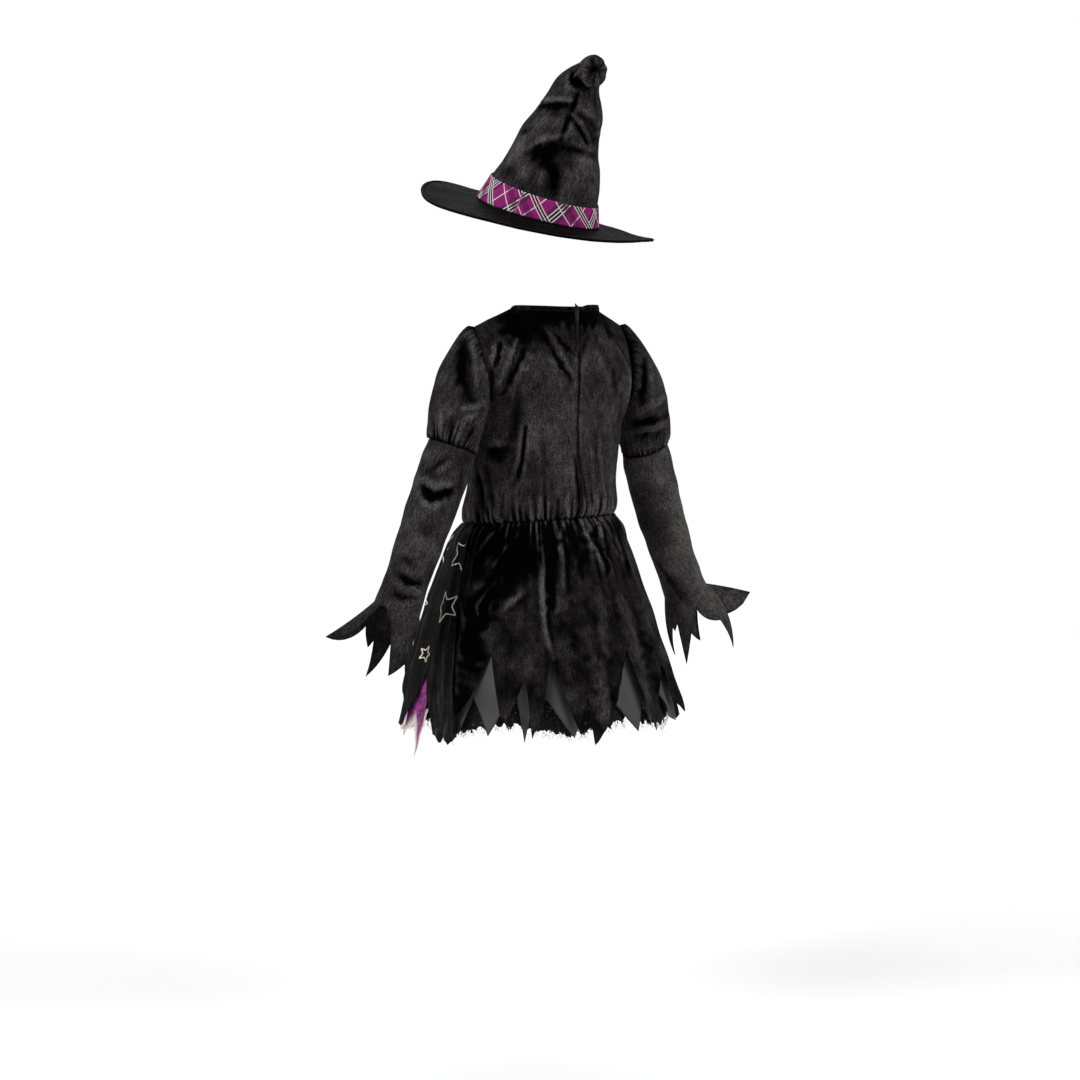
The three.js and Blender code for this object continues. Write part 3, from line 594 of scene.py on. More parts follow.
FLOOR_DARK, FLOOR_LIGHT = (0.86, 0.86, 0.86, 1), (0.88, 0.88, 0.88, 1)


def velvet(name, patches):
    """Black panne velvet: its short pile is pressed this way and that, so it looks dark or silvery; its
    colour also carries painted light and shade.
    """
    net = Net(bpy.data.materials.new(name))
    where = net.place()
    lay = net.noise(where, patches, 4.0, 0.6)
    pile = net.noise(where, 420.0, 4.0, 0.8)
    streaks = net.noise(net.vector(net.fact("around") * 420.0, net.fact("down") * 60.0), 1.0, 3.0, 0.6)
    grain = pile.ramp(0.32, 0.68) * 0.75 + streaks.ramp(0.35, 0.65) * 0.35
    # The base colour: pile lay and grain, with the painted light and shade that each piece carries
    shade = (net.fact("nap") * (lay.ramp(0.3, 0.7) * 0.5 + 0.6) * (grain + 0.3)) ** 1.8
    soft = net.bump(lay, 0.01, 0.3)
    return net.finish(
        Base_Color=net.mix_colour(shade, PILE_DARK, PILE_LIGHT),
        Roughness=pile.ramp(0.3, 0.7, 0.58, 0.48),
        Normal=net.bump(pile + streaks * 0.6, 0.0006, 0.5, soft),
        Specular_IOR_Level=0.003,
        Sheen_Weight=0.006,
        Sheen_Roughness=0.4,
    )


def satin():
    """Smooth dark grey lining with a fine weave."""
    net = Net(bpy.data.materials.new("satin"))
    around, down = net.fact("around"), net.fact("down")
    weave = (around * 5200.0).sine() * (down * 4200.0).sine()
    cloudy = net.noise(net.place(), 30.0, 2.0)
    return net.finish(
        Base_Color=net.mix_colour(cloudy.ramp(0.3, 0.7), SATIN_DARK, SATIN_LIGHT),
        Roughness=cloudy.ramp(0.3, 0.7, 0.5, 0.58),
        Normal=net.bump(weave * 0.5 + 0.5, 0.0002, 0.35),
        Specular_IOR_Level=0.3,
        Sheen_Weight=0.02,
    )


def tulle_strands(net, cell, width):
    """Six-sided net: three families of strands, about one cell apart. 1 on a strand."""
    around, down = net.fact("around"), net.fact("down")
    strands = None
    for turn in (0, 60, 120):
        line = (around * math.cos(turn * DEG) + down * math.sin(turn * DEG)) / (cell * MM)
        near = abs(line.fraction() - 0.5).ramp(0.5 - width, 0.5)
        strands = near if strands is None else strands.most(near)
    return strands


def torn_edge(net, reach, scale):
    """1 where the net is whole and 0 where it is torn away, within about reach metres of its hem."""
    uneven = net.noise(net.place(), scale, 3.0, 0.7)
    return (net.fact("to_hem") / reach + uneven * 2.2 - 0.9).above(0.5)


def black_net():
    """Stiff black net, gathered so close that little shows through, with a torn edge."""
    net = Net(bpy.data.materials.new("black_net"))
    strands = tulle_strands(net, 1.7, 0.22)
    cloud = net.noise(net.place(), 220.0, 3.0, 0.6)
    cover = (strands * 0.2 + cloud.ramp(0.3, 0.5) * 0.3 + 0.72).least(1.0)
    return net.finish(
        Base_Color=net.mix_colour(cloud.ramp(0.5, 0.75) * strands, NET_DARK, NET_LIGHT),
        Roughness=0.85,
        Alpha=cover * torn_edge(net, 0.009, 260.0),
        Normal=net.bump(strands, 0.0004, 0.6),
        Specular_IOR_Level=0.2,
    )


def star_net():
    """Sheer black knit in fine ribs, thin enough to show a little of what lies behind; its colour also
    carries painted light and shade.
    """
    net = Net(bpy.data.materials.new("star_net"))
    around, down = net.fact("around"), net.fact("down")
    ribs = (around * 3600.0).sine() * 0.5 + 0.5
    loops = (down * 4200.0 + (around * 1800.0).sine() * 2.0).sine() * 0.5 + 0.5
    crinkle = net.noise(net.vector(around * 240.0, down * 22.0), 1.0, 4.0, 0.65)
    cloud = net.noise(net.place(), 60.0, 3.0, 0.6)
    speck = net.noise(net.place(), 900.0, 1.0)
    cover = (ribs * 0.1 + loops * 0.06 + cloud.ramp(0.3, 0.6) * 0.12 + 0.8).least(1.0)
    # The base colour: crinkle and specks, with the painted light and shade that the overlay carries
    shade = net.fact("nap") * (crinkle.ramp(0.38, 0.66) * 0.9 + 0.25) * (speck.ramp(0.4, 0.7) * 0.5 + 0.75)
    shade = (shade * 1.2) ** 1.8
    return net.finish(
        Base_Color=net.mix_colour(shade, KNIT_DARK, KNIT_LIGHT),
        Roughness=cloud.ramp(0.3, 0.7, 0.55, 0.75),
        Alpha=cover,
        Normal=net.bump(ribs * 0.4 + loops * 0.2 + crinkle, 0.0006, 0.6),
        Specular_IOR_Level=0.08,
    )


def glitter_net():
    """Magenta net strewn with glitter, with pale torn tips and a black casing at its top."""
    net = Net(bpy.data.materials.new("glitter_net"))
    strands = tulle_strands(net, 1.8, 0.24)
    where = net.place()
    flake, chance = (net.node("ShaderNodeTexVoronoi", {"feature": "F1"}, output, Vector=where, Scale=700.0)
                     for output in (0, 1))
    kind = net.node("ShaderNodeSeparateColor", output=0, Color=chance)
    cased = net.fact("down").ramp(0.01, 0.014, 1.0, 0.0)
    bright = flake.ramp(0.25, 0.4, 1.0, 0.0) * kind.above(0.62) * (1.0 - cased)
    cloud = net.noise(where, 90.0, 3.0, 0.6)
    pale = (net.fact("to_hem") + cloud * 0.012).ramp(0.012, 0.032, 1.0, 0.0)
    dyed = net.mix_colour(cloud.ramp(0.35, 0.65), DYED_DARK, DYED_LIGHT)
    tipped = net.mix_colour(pale, net.mix_colour(cased, dyed, CASING), PALE_TIP)
    cover = (strands * 0.6 + cloud.ramp(0.2, 0.6) * 0.3 + 0.4).least(1.0)
    return net.finish(
        Base_Color=net.mix_colour(bright, tipped, GLITTER),
        Roughness=bright * -0.3 + 0.6,
        Metallic=bright * 0.8,
        Alpha=cover * torn_edge(net, 0.008, 300.0),
        Normal=net.bump(strands + bright, 0.0005, 0.6),
    )


def foil():
    """The off-white print of the stars, with gold specks, a little rubbed."""
    net = Net(bpy.data.materials.new("star_foil"))
    rubbed = net.noise(net.place(), 1100.0, 2.0, 0.6)
    return net.finish(
        Base_Color=net.mix_colour(rubbed.ramp(0.42, 0.62), PRINT_WHITE, PRINT_GOLD),
        Roughness=rubbed.ramp(0.3, 0.7, 0.32, 0.5),
        Metallic=0.25,
        Normal=net.bump(rubbed, 0.0002, 0.4),
    )


def sewing_thread():
    """Dark twisted thread."""
    net = Net(bpy.data.materials.new("thread"))
    twist = net.noise(net.place(), 1500.0, 1.0)
    return net.finish(Base_Color=net.mix_colour(twist, THREAD_DARK, THREAD_LIGHT), Roughness=0.8)


def pale_thread():
    """Loose ends of the glitter net: cream, with a little of its dye."""
    net = Net(bpy.data.materials.new("pale_thread"))
    dye = net.noise(net.place(), 160.0, 2.0)
    return net.finish(Base_Color=net.mix_colour(dye.ramp(0.45, 0.7), CREAM, CREAM_DYED), Roughness=0.75)


PLAID_REPEAT = 52.0
# Each way of the plaid: its lean in degrees, its start, and stripes of middle, width, dye and strength
PLAID_WAYS = [
    (52, 8.0, [(10, 22, VIOLET, 0.8), (10, 9, BLACK_DYE, 0.9), (5.4, 1.4, WHITE_DYE, 0.95),
               (10, 1.4, WHITE_DYE, 0.95), (14.6, 1.4, WHITE_DYE, 0.95), (36, 1.4, WHITE_DYE, 0.9)]),
    (-47, 21.0, [(10, 9, BLACK_DYE, 0.8), (5.8, 1.3, WHITE_DYE, 0.9), (10, 1.3, WHITE_DYE, 0.9),
                 (14.2, 1.3, WHITE_DYE, 0.9), (26, 8, VIOLET, 0.65), (36, 1.3, WHITE_DYE, 0.85)]),
]


def plaid():
    """Cotton plaid, cut on the bias."""
    net = Net(bpy.data.materials.new("plaid"))
    around, down = net.fact("around"), net.fact("down")
    colour = MAGENTA
    for lean, start, stripes in PLAID_WAYS:
        across = around * (math.sin(lean * DEG) / MM) + down * (math.cos(lean * DEG) / MM)
        at = ((across + start) / PLAID_REPEAT + 40).fraction() * PLAID_REPEAT
        for middle, width, dye, strength in stripes:
            inside = abs(at - middle).ramp(width / 2 - 0.2, width / 2 + 0.2, strength, 0.0)
            colour = net.mix_colour(inside, colour, dye)
    twill = ((around + down) * 7000.0).sine() * 0.5 + 0.5
    worn = net.noise(net.place(), 160.0, 3.0)
    return net.finish(
        Base_Color=net.mix_colour(worn.ramp(0.55, 0.8) * 0.08, colour, WORN_DYE),
        Roughness=0.78,
        Normal=net.bump(twill * 0.6 + worn * 0.5, 0.0003, 0.5),
        Specular_IOR_Level=0.1,
    )


def pale_floor():
    net = Net(bpy.data.materials.new("pale_floor"))
    grain = net.noise(net.place(), 3.0, 2.0)
    return net.finish(
        Base_Color=net.mix_colour(grain, FLOOR_DARK, FLOOR_LIGHT),
        Roughness=0.7,
    )


# Folds, and nap with painted light and shade, placed one by one

def folds(points, lines, sharp=1.7):
    """How far folds lift the cloth. A line is its height, below 0 for a trough, a width and its corners."""
    total = np.zeros(points.shape[:-1])
    for height, width, *corners in lines:
        corners = np.array(corners, float)
        steps = np.diff(corners, axis=0)
        sizes = np.linalg.norm(steps, axis=1)
        before = np.cumsum(sizes) - sizes
        nearest, passed = np.full(total.shape, np.inf), np.zeros(total.shape)
        for corner, step, size, start in zip(corners, steps, sizes, before):
            share = np.clip(((points - corner) @ step) / size**2, 0, 1)
            away = np.linalg.norm(points - corner - share[..., None] * step, axis=-1)
            passed = np.where(away < nearest, (start + share * size) / sizes.sum(), passed)
            nearest = np.minimum(nearest, away)
        fade = np.sin(math.pi * (0.1 + 0.8 * passed)) ** 0.7
        total += height * fade * np.exp(-((nearest / width) ** sharp))
    return total


def placed(where, lines):
    """The same lines, with every corner put through a function."""
    return [(height, width, *[where(*corner) for corner in corners]) for height, width, *corners in lines]


def facing(points, height, lit):
    """How far the folds' slopes turn the cloth to the light, for its painted light and shade."""
    total = 0
    for axis in (0, 1):
        step = np.gradient(points, axis=axis)
        size = np.maximum(np.linalg.norm(step, axis=-1), 0.4)
        total = total - np.gradient(height, axis=axis) / size * (step @ np.array(lit)) / size
    return np.clip(total, -0.7, 0.7)


def softened(values, times):
    """A grid of values, evened out by taking the mean of each one's four neighbours a number of times."""
    for _ in range(times):
        wide = np.pad(values, 1, mode="edge")
        values = (wide[:-2, 1:-1] + wide[2:, 1:-1] + wide[1:-1, :-2] + wide[1:-1, 2:]) / 4
    return values


def nap(points, base, lines, height, lit=(0.9, 0, 0.45)):
    """The pile's colour from dark to light: nap patches, with painted highlights on ridges, painted shade in
    troughs, and painted light and shade by the way that each fold faces.
    """
    x, y, z = np.moveaxis(points, -1, 0)
    uneven = points + vec(ripple(y, z, 17, 3.2, 1), ripple(x, y, 17, 3.2, 2), ripple(x, z, 17, 3.2, 3))
    folded = FOLD_SHADE * np.clip(height, -2.5, 2) + FACING_SHADE * facing(points, height, lit)
    light = folds(uneven, lines, 3.4) + folded
    fine = np.clip(height - softened(height, 10), -1.2, 1.2)
    crisp = light - softened(light, 12) + CRISP_HEIGHT * fine
    return np.clip(base + light + CRISP_LIGHT * crisp, 0.02, 1)


# Skirt

def waist_shift(turn):
    return -WAIST_DIP * np.cos((turn - WAIST_DIP_TURN) * DEG)


def skirt_depth(z):
    """Share of the way from the waist to the hem."""
    return np.clip((WAIST_Z - z) / (WAIST_Z - HEM_Z), 0, 1)


def skirt_flute(turn, z, follow):
    depth = skirt_depth(z)
    drift = 34 * np.sin(2 * turn * DEG) + 22 * np.sin(5 * turn * DEG + 1)
    flute = np.cos((FLUTES * turn + drift) * DEG) * mix(FLUTE_AT_WAIST, FLUTE_AT_HEM, depth**0.9)
    gather = np.cos((WAIST_GATHERS * turn + 40) * DEG) * GATHER_HEIGHT * np.exp(-7 * depth)
    return follow * flute + (gather if follow == 1 else 0)


def skirt_point(turn, z, reach):
    """reach is how far the cloth stands out from the plain cone of the skirt."""
    side, depth, middle = (SKIRT.at(name, z) for name in ("side", "depth", "mid"))
    lift = waist_shift(turn) * np.clip(1 - (WAIST_Z - z) / 120, 0, 1)
    return vec((side + reach) * np.cos(turn * DEG), middle + (depth + reach) * np.sin(turn * DEG), z + lift)


def skirt_flat(turn, z):
    """The place of a point on the skirt as if it were rolled out flat."""
    return vec(turn * DEG * SKIRT.at("side", z), z, 0)


def skirt_grid(turns, hem_z, top_rows, low_rows):
    """Turn and level of every point: whole rows to where the slits end, then shares of the way to the hem."""
    top = np.linspace(WAIST_Z - SEAM_GAP / 2, HEM_SPLIT_Z, top_rows, endpoint=False)[:, None]
    share = np.linspace(0, 1, low_rows)[:, None]
    z = np.vstack([np.broadcast_to(top, (top_rows, len(turns))), mix(HEM_SPLIT_Z, hem_z[None], share)])
    share = np.vstack([np.zeros((top_rows, 1)), share])
    return np.broadcast_to(turns, z.shape), z, np.broadcast_to(share, z.shape)


def skirt_outward(points):
    return vec(points[..., 0], points[..., 1] - SKIRT_Y, 0)


def layer_reach(name, turn, z):
    """How far a layer stands out from the plain cone of the skirt, without its own folds."""
    _, waist_out, hem_out, follow = SKIRT_LAYERS[name]
    return mix(waist_out, hem_out, skirt_depth(z)) + skirt_flute(turn, z, follow)


def skirt_sheet(name, turns, hem_z, rows, own_folds, lean=0, curl=0, edge=None, closed=False, shade=None):
    """One layer of the skirt, with its lowest row; own_folds(turn, z) are its own folds in millimetres."""
    turn, z, share = skirt_grid(turns, hem_z, *rows)
    if edge:
        turn = edge(turn, z)
    turn = turn + lean * share**2
    own = own_folds(turn, z)
    points = skirt_point(turn, z, layer_reach(name, turn, z) + curl * share**2 + own)
    facts = {"to_hem": (z - hem_z[None]) * MM}
    if shade:
        facts["nap"] = shade(turn, z, own)
    thickness = SKIRT_LAYERS[name][0]
    return cloth(name, points, skirt_outward(points), thickness, closed=closed, **facts), points[-1]


def puckers(turn, below, count, height, length):
    """Small uneven puckers where cloth is drawn up on elastic; below is the distance from the seam."""
    phase = count * turn * DEG + 2.2 * np.sin(7 * turn * DEG) + 1.4 * np.sin(17 * turn * DEG + 2)
    reach = length * (0.65 + 0.5 * np.sin(count * 0.37 * turn * DEG + 1.1) ** 2)
    return height * np.sin(phase) * np.exp(-below / reach)


def ragged(turns, height, seed, size=3.0):
    """Small unevenness of a cut or torn edge."""
    return ripple(turns, 0 * turns, size, height, seed, 9)


def cut_hem(table, step, height, seed, closed=False):
    """The turns of a hem's columns, about step degrees apart, and their uneven levels."""
    turns = table.spread(step)
    if closed:
        turns = turns[:-1]
    return turns, table.straight("z", turns) + ragged(turns, height, seed)


# Each layer: thickness, how far out it lies at the waist and at the hem, and its share of the flutes
SKIRT_LAYERS = {
    "skirt_velvet_cloth": (VELVET, 0, 0, 1),
    "star_overlay_cloth": (NET, 3, 3.4, 1),
    "glitter_net_cloth": (NET, -2.4, -5, 0.5),
    "satin_cloth": (SATIN, -4.2, -8, 0.5),
    "petticoat_cloth": (NET, -6, -13, 0),
}
# On the flat skirt, the painted light comes from the left of the back and from above
SKIRT_LIT = (-0.9, 0.45, 0)
SKIRT_FOLDS = [
    (2.4, 4.5, (42, -326), (35, -344), (29, -364)),
    (1.8, 5, (26, -398), (22, -420), (24, -446)),
    (-1.8, 5, (29, -400), (26, -424), (28, -448)),
    (1.5, 6, (37, -424), (47, -402)),
    (-1.4, 12, (86, -440), (88, -560)),
    (1.3, 10, (128, -400), (134, -540)),
    (2.6, 4.5, (62, -308), (59.6, -354), (57.9, -394), (58.1, -449), (60.6, -491)),
    (-4.2, 7, (67.5, -308), (66.8, -346), (64.8, -390), (63.5, -420)),
    (2.2, 5, (77, -308), (71.4, -363), (70, -400)),
    (-2.2, 5, (83, -308), (81, -350)),
    (-3.4, 4.5, (95, -309), (97.6, -337), (102, -375)),
    (2.4, 4, (90.5, -309), (93.5, -341), (97.5, -376)),
    (-1.8, 4, (107, -310), (98.5, -337)),
    (1.6, 4, (109.5, -309), (103, -335)),
    (1.5, 14, (93.7, -400), (84.2, -517), (80, -590)),
    (2.2, 6, (25.6, -318), (20, -335), (15.9, -349)),
    (-2.6, 8, (33, -316), (26, -342), (18, -366)),
    (-2.0, 9, (44, -312), (38, -352), (24, -402)),
    (1.4, 9, (26, -392), (16, -400)),
    (1.4, 6, (6.9, -414), (18.1, -460)),
    (-1.6, 7, (3, -420), (12, -470)),
    (-1.5, 8, (122, -312), (126, -360), (130, -420)),
    (1.4, 6, (117, -312), (119, -350)),
    (-2.0, 6, (141, -310), (146, -352), (147, -392)),
    (2.0, 6, (150, -310), (153, -356)),
    (-2.4, 6, (163, -310), (160, -350), (161, -385)),
    (1.8, 6, (169, -312), (167, -360)),
]
# Painted light and shade on the skirt's velvet, with its nap: a dark band under the waist, dark patches and
# troughs, light ridges and columns
SKIRT_NAP_AND_SHADE = [
    (-0.34, 17, (18, -380), (19.5, -440), (21, -500), (23, -580)),
    (0.24, 4, (41, -330), (34, -346), (29, -362)),
    (0.18, 5, (26, -398), (22, -420), (24, -444)),
    (0.14, 7, (38, -420), (46, -404)),
    (-0.2, 11, (82, -470), (86, -540)),
    (0.22, 3, (98, -346), (104, -372)),
    (-0.14, 10, (128, -450), (132, -540)),
    (-0.5, 26, (6, -324), (45, -334), (72, -336)),
    (-0.3, 22, (24, -350), (50, -362)),
    (-0.34, 20, (60, -350), (40, -372), (28, -408), (20, -470)),
    (-0.3, 13, (68, -320), (65.5, -396)),
    (-0.26, 14, (86, -322), (84, -372)),
    (-0.3, 9, (97, -330), (102, -372)),
    (-0.2, 18, (116, -318), (150, -322)),
    (0.22, 4, (62, -310), (59.6, -354), (57.9, -394), (58.1, -430)),
    (0.26, 5, (76, -310), (71.4, -363)),
    (0.3, 5, (92.5, -316), (97, -360)),
    (0.22, 5, (25.6, -318), (15.9, -349)),
    (0.2, 12, (94, -400), (84.2, -517), (80, -590)),
    (0.22, 18, (106, -372), (106, -575)),
    (0.2, 26, (136, -340), (150, -520)),
    (0.1, 34, (112, -430), (120, -540)),
    (0.06, 40, (60, -500), (90, -560)),
    (-0.4, 8, (122, -362), (120, -382)),
    (0.3, 4, (112, -345), (116, -372)),
    (0.16, 30, (128, -350), (136, -540)),
    (0.14, 20, (54, -440), (46, -560)),
    (0.14, 8, (26, -392), (15, -394)),
    (0.14, 5, (6.9, -414), (18.1, -460)),
    (-0.14, 12, (73, -420), (74, -570)),
    (-0.16, 9, (115, -440), (118, -560)),
]


def velvet_skirt():
    turns, hem = cut_hem(VELVET_HEM, 0.6, 0.7, 3)
    lean, curl = VELVET_HEM.straight("lean", turns), VELVET_HEM.straight("curl", turns)

    def own_folds(turn, z):
        waist = WAIST_Z - z
        return (puckers(turn, waist, 78, 1.4, 13) + puckers(turn + 3, waist, 41, 1.3, 42)
                + folds(skirt_flat(turn, z), placed(skirt_flat, SKIRT_FOLDS))
                + ripple(turn * 3, z, 55, 0.5, 11))

    def shade(turn, z, own):
        base = 0.33 + ripple(turn * 3, z, 20, 0.05, 13)
        lit = nap(skirt_flat(turn, z), base, placed(skirt_flat, SKIRT_NAP_AND_SHADE), own, SKIRT_LIT)
        # Painted shadow: the velvet goes black along the waist seam, under the bodice
        return lit * smooth((WAIST_Z + 2 - z) / 5)

    across = mix(SEAM_TURN, 180 - SEAM_TURN, turns / 180)
    return skirt_sheet("skirt_velvet_cloth", across, hem, (58, 36), own_folds, lean, curl, shade=shade)


def satin_underskirt():
    turns, hem = cut_hem(SATIN_HEM, 1.1, 0.4, 5, closed=True)
    return skirt_sheet("satin_cloth", turns, hem, (20, 22), lambda turn, z: ripple(turn * 3, z, 60, 0.7, 21),
                       closed=True)


def net_petticoat():
    count = 450
    turns = np.arange(count) * 360 / count
    hem = -592 - 7 * np.sin(turns / 6 * 0.7) + ripple(turns, 0 * turns, 6, 3.2, 8) + ragged(turns, 1.8, 9)

    def crinkle(turn, z):
        wave = np.sin(60 * turn * DEG + 3 * np.sin(7 * turn * DEG) + 0.05 * z)
        return skirt_depth(z) * (1.1 * wave - 3.4 + ripple(turn * 3, z, 9, 0.4, 22))

    return skirt_sheet("petticoat_cloth", turns, hem, (14, 26), crinkle, closed=True)


def glitter_front():
    points = 14
    tips = []
    for i in range(points + 1):
        turn = mix(180 + SEAM_TURN, 360 - SEAM_TURN, i / points)
        tip = -640 if i == points - 1 else -612 - (14 if i % 3 == 1 else 0)
        tips.append((turn, -575 if i == points else -598))
        if i < points:
            tips.append((turn + 90 / points, tip))
    turns, hem = cut_hem(Table("turn z", *tips), 0.7, 1.8, 31)
    return skirt_sheet("glitter_net_cloth", turns, hem, (16, 26),
                       lambda turn, z: ripple(turn * 3, z, 30, 0.8, 33))


def overlay_shift(turn, z):
    widest = OVERLAY_EDGE.rows[0, 1]
    shift = OVERLAY_EDGE.at("turn", z) - widest
    from_left = smooth((turn + 12) / (widest + 12))
    from_right = smooth((-168 - turn) / (widest + 12))
    return turn + shift * (from_left - from_right)


def overlay_folds(turn, z):
    wave = np.sin(52 * turn * DEG + 2.5 * np.sin(9 * turn * DEG) + 0.012 * z)
    return (puckers(turn, WAIST_Z - z, 70, 1.0, 18) + 0.5 * skirt_depth(z) * wave
            + ripple(turn * 3, z, 45, 0.4, 41)
            + folds(skirt_flat(turn, z), placed(skirt_flat, OVERLAY_FOLDS)))


OVERLAY_FOLDS = [
    (-1.6, 5, (1, -310), (0, -352), (4, -420)),
    (1.4, 5, (-5, -310), (-5, -380)),
    (1.2, 6, (4, -480), (9, -580)),
    (-1.4, 6, (-3, -470), (-1, -590)),
    (-1.6, 6, (-30, -310), (-33, -400)),
    (-1.8, 6, (-62, -310), (-58, -390)),
    (-1.6, 6, (-95, -310), (-99, -420)),
    (-1.8, 6, (-128, -310), (-126, -380)),
    (-1.5, 6, (-160, -310), (-163, -400)),
]


def overlay_point(turn, z, out):
    """A point on the overlay, or out millimetres off its face."""
    return skirt_point(turn, z, layer_reach("star_overlay_cloth", turn, z) + overlay_folds(turn, z) + out)


def star_overlay():
    turns, hem = cut_hem(OVERLAY_HEM, 0.75, 1.5, 43)

    def shade(turn, z, own):
        # Painted light on the knit, with its nap: lighter at its top corner by the waist, and in a streak low
        # near its edge
        corner = [(0.5, 12, (1, -306), (-2, -322)), (0.12, 14, (3, -500), (8, -590))]
        return nap(skirt_flat(turn, z), 0.32, placed(skirt_flat, corner), own, SKIRT_LIT)

    return skirt_sheet("star_overlay_cloth", turns, hem, (38, 30), overlay_folds, edge=overlay_shift,
                       shade=shade)


# Bodice

NECK = {"side": 66, "back": 59, "front": -58, "side_y": 2, "side_z": 2, "back_z": 0, "front_z": -46}
NECK_HEM = 6.5
ARMHOLE_BULGE = {"back": (134, 26), "front": (131, -48)}
YOKE_FULLNESS = {"back": 11, "front": -9, "up": 5}
# Each arm's lower sleeve gets its pile level here, with painted light: the right one is painted lighter
ARMS = {
    "left": {"side": 1, "shoulder": (132, -11, -28), "elbow": (173, -8, -195), "wrist": (256, -27, -421),
             "bow": 0, "nap": 0.64},
    "right": {"side": -1, "shoulder": (132, -11, -28), "elbow": (178, -8, -207), "wrist": (278, -28, -432),
              "bow": -6, "nap": 1.12},
}


def armhole(arm, half, t):
    """The armhole seam of one half, from the armpit up to the shoulder tip."""
    side, mid = TRUNK.column("side")[-1], TRUNK.column("mid")[-1]
    x, y = ARMHOLE_BULGE[half]
    shoulder = np.array(arm["shoulder"], float)
    ends = [(side, mid, ARMPIT_Z), (x, y, ARMPIT_Z + 12), (x, y, shoulder[2] - 42), tuple(shoulder)]
    a, b, c, d = (np.array([arm["side"] * p, q, r], float) for p, q, r in ends)
    t = np.asarray(t)[..., None]
    s = 1 - t
    return a * s**3 + b * 3 * s * s * t + c * 3 * s * t * t + d * t**3


def top_edge(arm, half, t):
    """The shoulder seam and then the neckline, from the shoulder tip to the middle."""
    side, end = arm["side"], "back" if half == "back" else "front"
    x, y, z = arm["shoulder"]
    neck = np.array([side * NECK["side"], NECK["side_y"], NECK["side_z"]], float)
    tip = np.array([side * x, y, z], float)
    seam = mix(tip, neck, np.clip(t * 2, 0, 1)[..., None])
    turn = np.clip(t - 0.5, 0, 1) * math.pi
    line = vec(neck[0] * np.cos(turn), mix(NECK["side_y"], NECK[end], np.sin(turn)),
               mix(NECK["side_z"], NECK[end + "_z"], np.sin(turn) ** 2))
    return np.where((t < 0.5)[..., None], seam, line)


def middle_line(half, t):
    low = TRUNK.column(half)[-1]
    bow = 3 if half == "back" else -8
    return vec(0 * t, mix(low, NECK[half], t) + bow * 4 * t * (1 - t), mix(ARMPIT_Z, NECK[half + "_z"], t))


def world_turn(side, half, t):
    around = 90 * t if half == "back" else -90 * t
    return around if side > 0 else 180 - around


def trunk_point(side, half, z, t):
    """A level of the trunk below the armpits; t runs from the side seam to the middle."""
    wide, mid = TRUNK.at("side", z), TRUNK.at("mid", z)
    reach = TRUNK.at(half, z) - mid
    high = np.clip((z - WAIST_Z) / (ARMPIT_Z - WAIST_Z), 0, 1)
    turn = world_turn(side, half, t)
    small = np.cos((WAIST_GATHERS * turn + 90) * DEG) * GATHER_HEIGHT * np.exp(-9 * high)
    broad = np.cos((BLOUSE_FOLDS * turn + 60) * DEG) * BLOUSE_FOLD_HEIGHT * np.exp(-3 * high)
    fold = small + broad * smooth(high * 12)
    angle = t * 90 * DEG
    return vec(side * (wide + fold) * np.cos(angle), mid + (reach + np.sign(reach) * fold) * np.sin(angle),
               z + waist_shift(turn) * (1 - high))


def yoke_point(arm, half, t, high):
    """A point between the armpits and the shoulders, blended from the four edges of its quarter."""
    def corner(edge, at):
        return edge(arm, half, np.full_like(t, at))

    def low(at):
        return trunk_point(arm["side"], half, np.full_like(t, float(ARMPIT_Z)), at)

    s, h = t[..., None], high[..., None]
    corners = (low(0 * t) * (1 - s) * (1 - h) + low(0 * t + 1) * s * (1 - h)
               + corner(top_edge, 0.0) * (1 - s) * h + corner(top_edge, 1.0) * s * h)
    point = (low(t) * (1 - h) + top_edge(arm, half, t) * h
             + armhole(arm, half, high) * (1 - s) + middle_line(half, high) * s - corners)
    middle = np.sin(math.pi * np.minimum(1, t * 1.15)).clip(0)
    fullness = np.sin(math.pi * high) ** 2 * middle**0.8
    point[..., 1] += YOKE_FULLNESS[half] * fullness
    point[..., 2] += YOKE_FULLNESS["up"] * fullness * (1 - t)
    return point


def bodice_outward(points):
    return vec(points[..., 0], points[..., 1] - BODICE_Y, np.maximum(0, points[..., 2] + 90) * 1.2)


def bodice_quarter(arm, half, columns, trunk_rows, yoke_rows):
    """Points of one quarter, rows from the waist up, columns from the side seam to the middle."""
    t = np.linspace(0, 1, columns)[None]
    z = np.linspace(WAIST_Z + SEAM_GAP / 2, ARMPIT_Z, trunk_rows, endpoint=False)[:, None]
    lower = trunk_point(arm["side"], half, *np.broadcast_arrays(z, t))
    high = np.linspace(0, 1, yoke_rows)[:, None]
    upper = yoke_point(arm, half, *[a.copy() for a in np.broadcast_arrays(t, high)])
    return np.vstack([lower, upper])


def seam(across, depth=0.9, over=3.0):
    """How far the cloth turns in towards a seam, by its distance from it in millimetres."""
    return -depth * hump(across, 0, over)


def on_cloth(points, *place):
    """A place in space, or the point of the cloth that lies at x and z as seen from behind."""
    if len(place) == 3:
        return np.array(place, float)
    flat = points.reshape(-1, 3)
    return flat[((flat[:, [0, 2]] - place) ** 2).sum(1).argmin()]


def placed_on(points, lines):
    """The same lines, with every corner put on the cloth."""
    return placed(lambda *place: on_cloth(points, *place), lines)


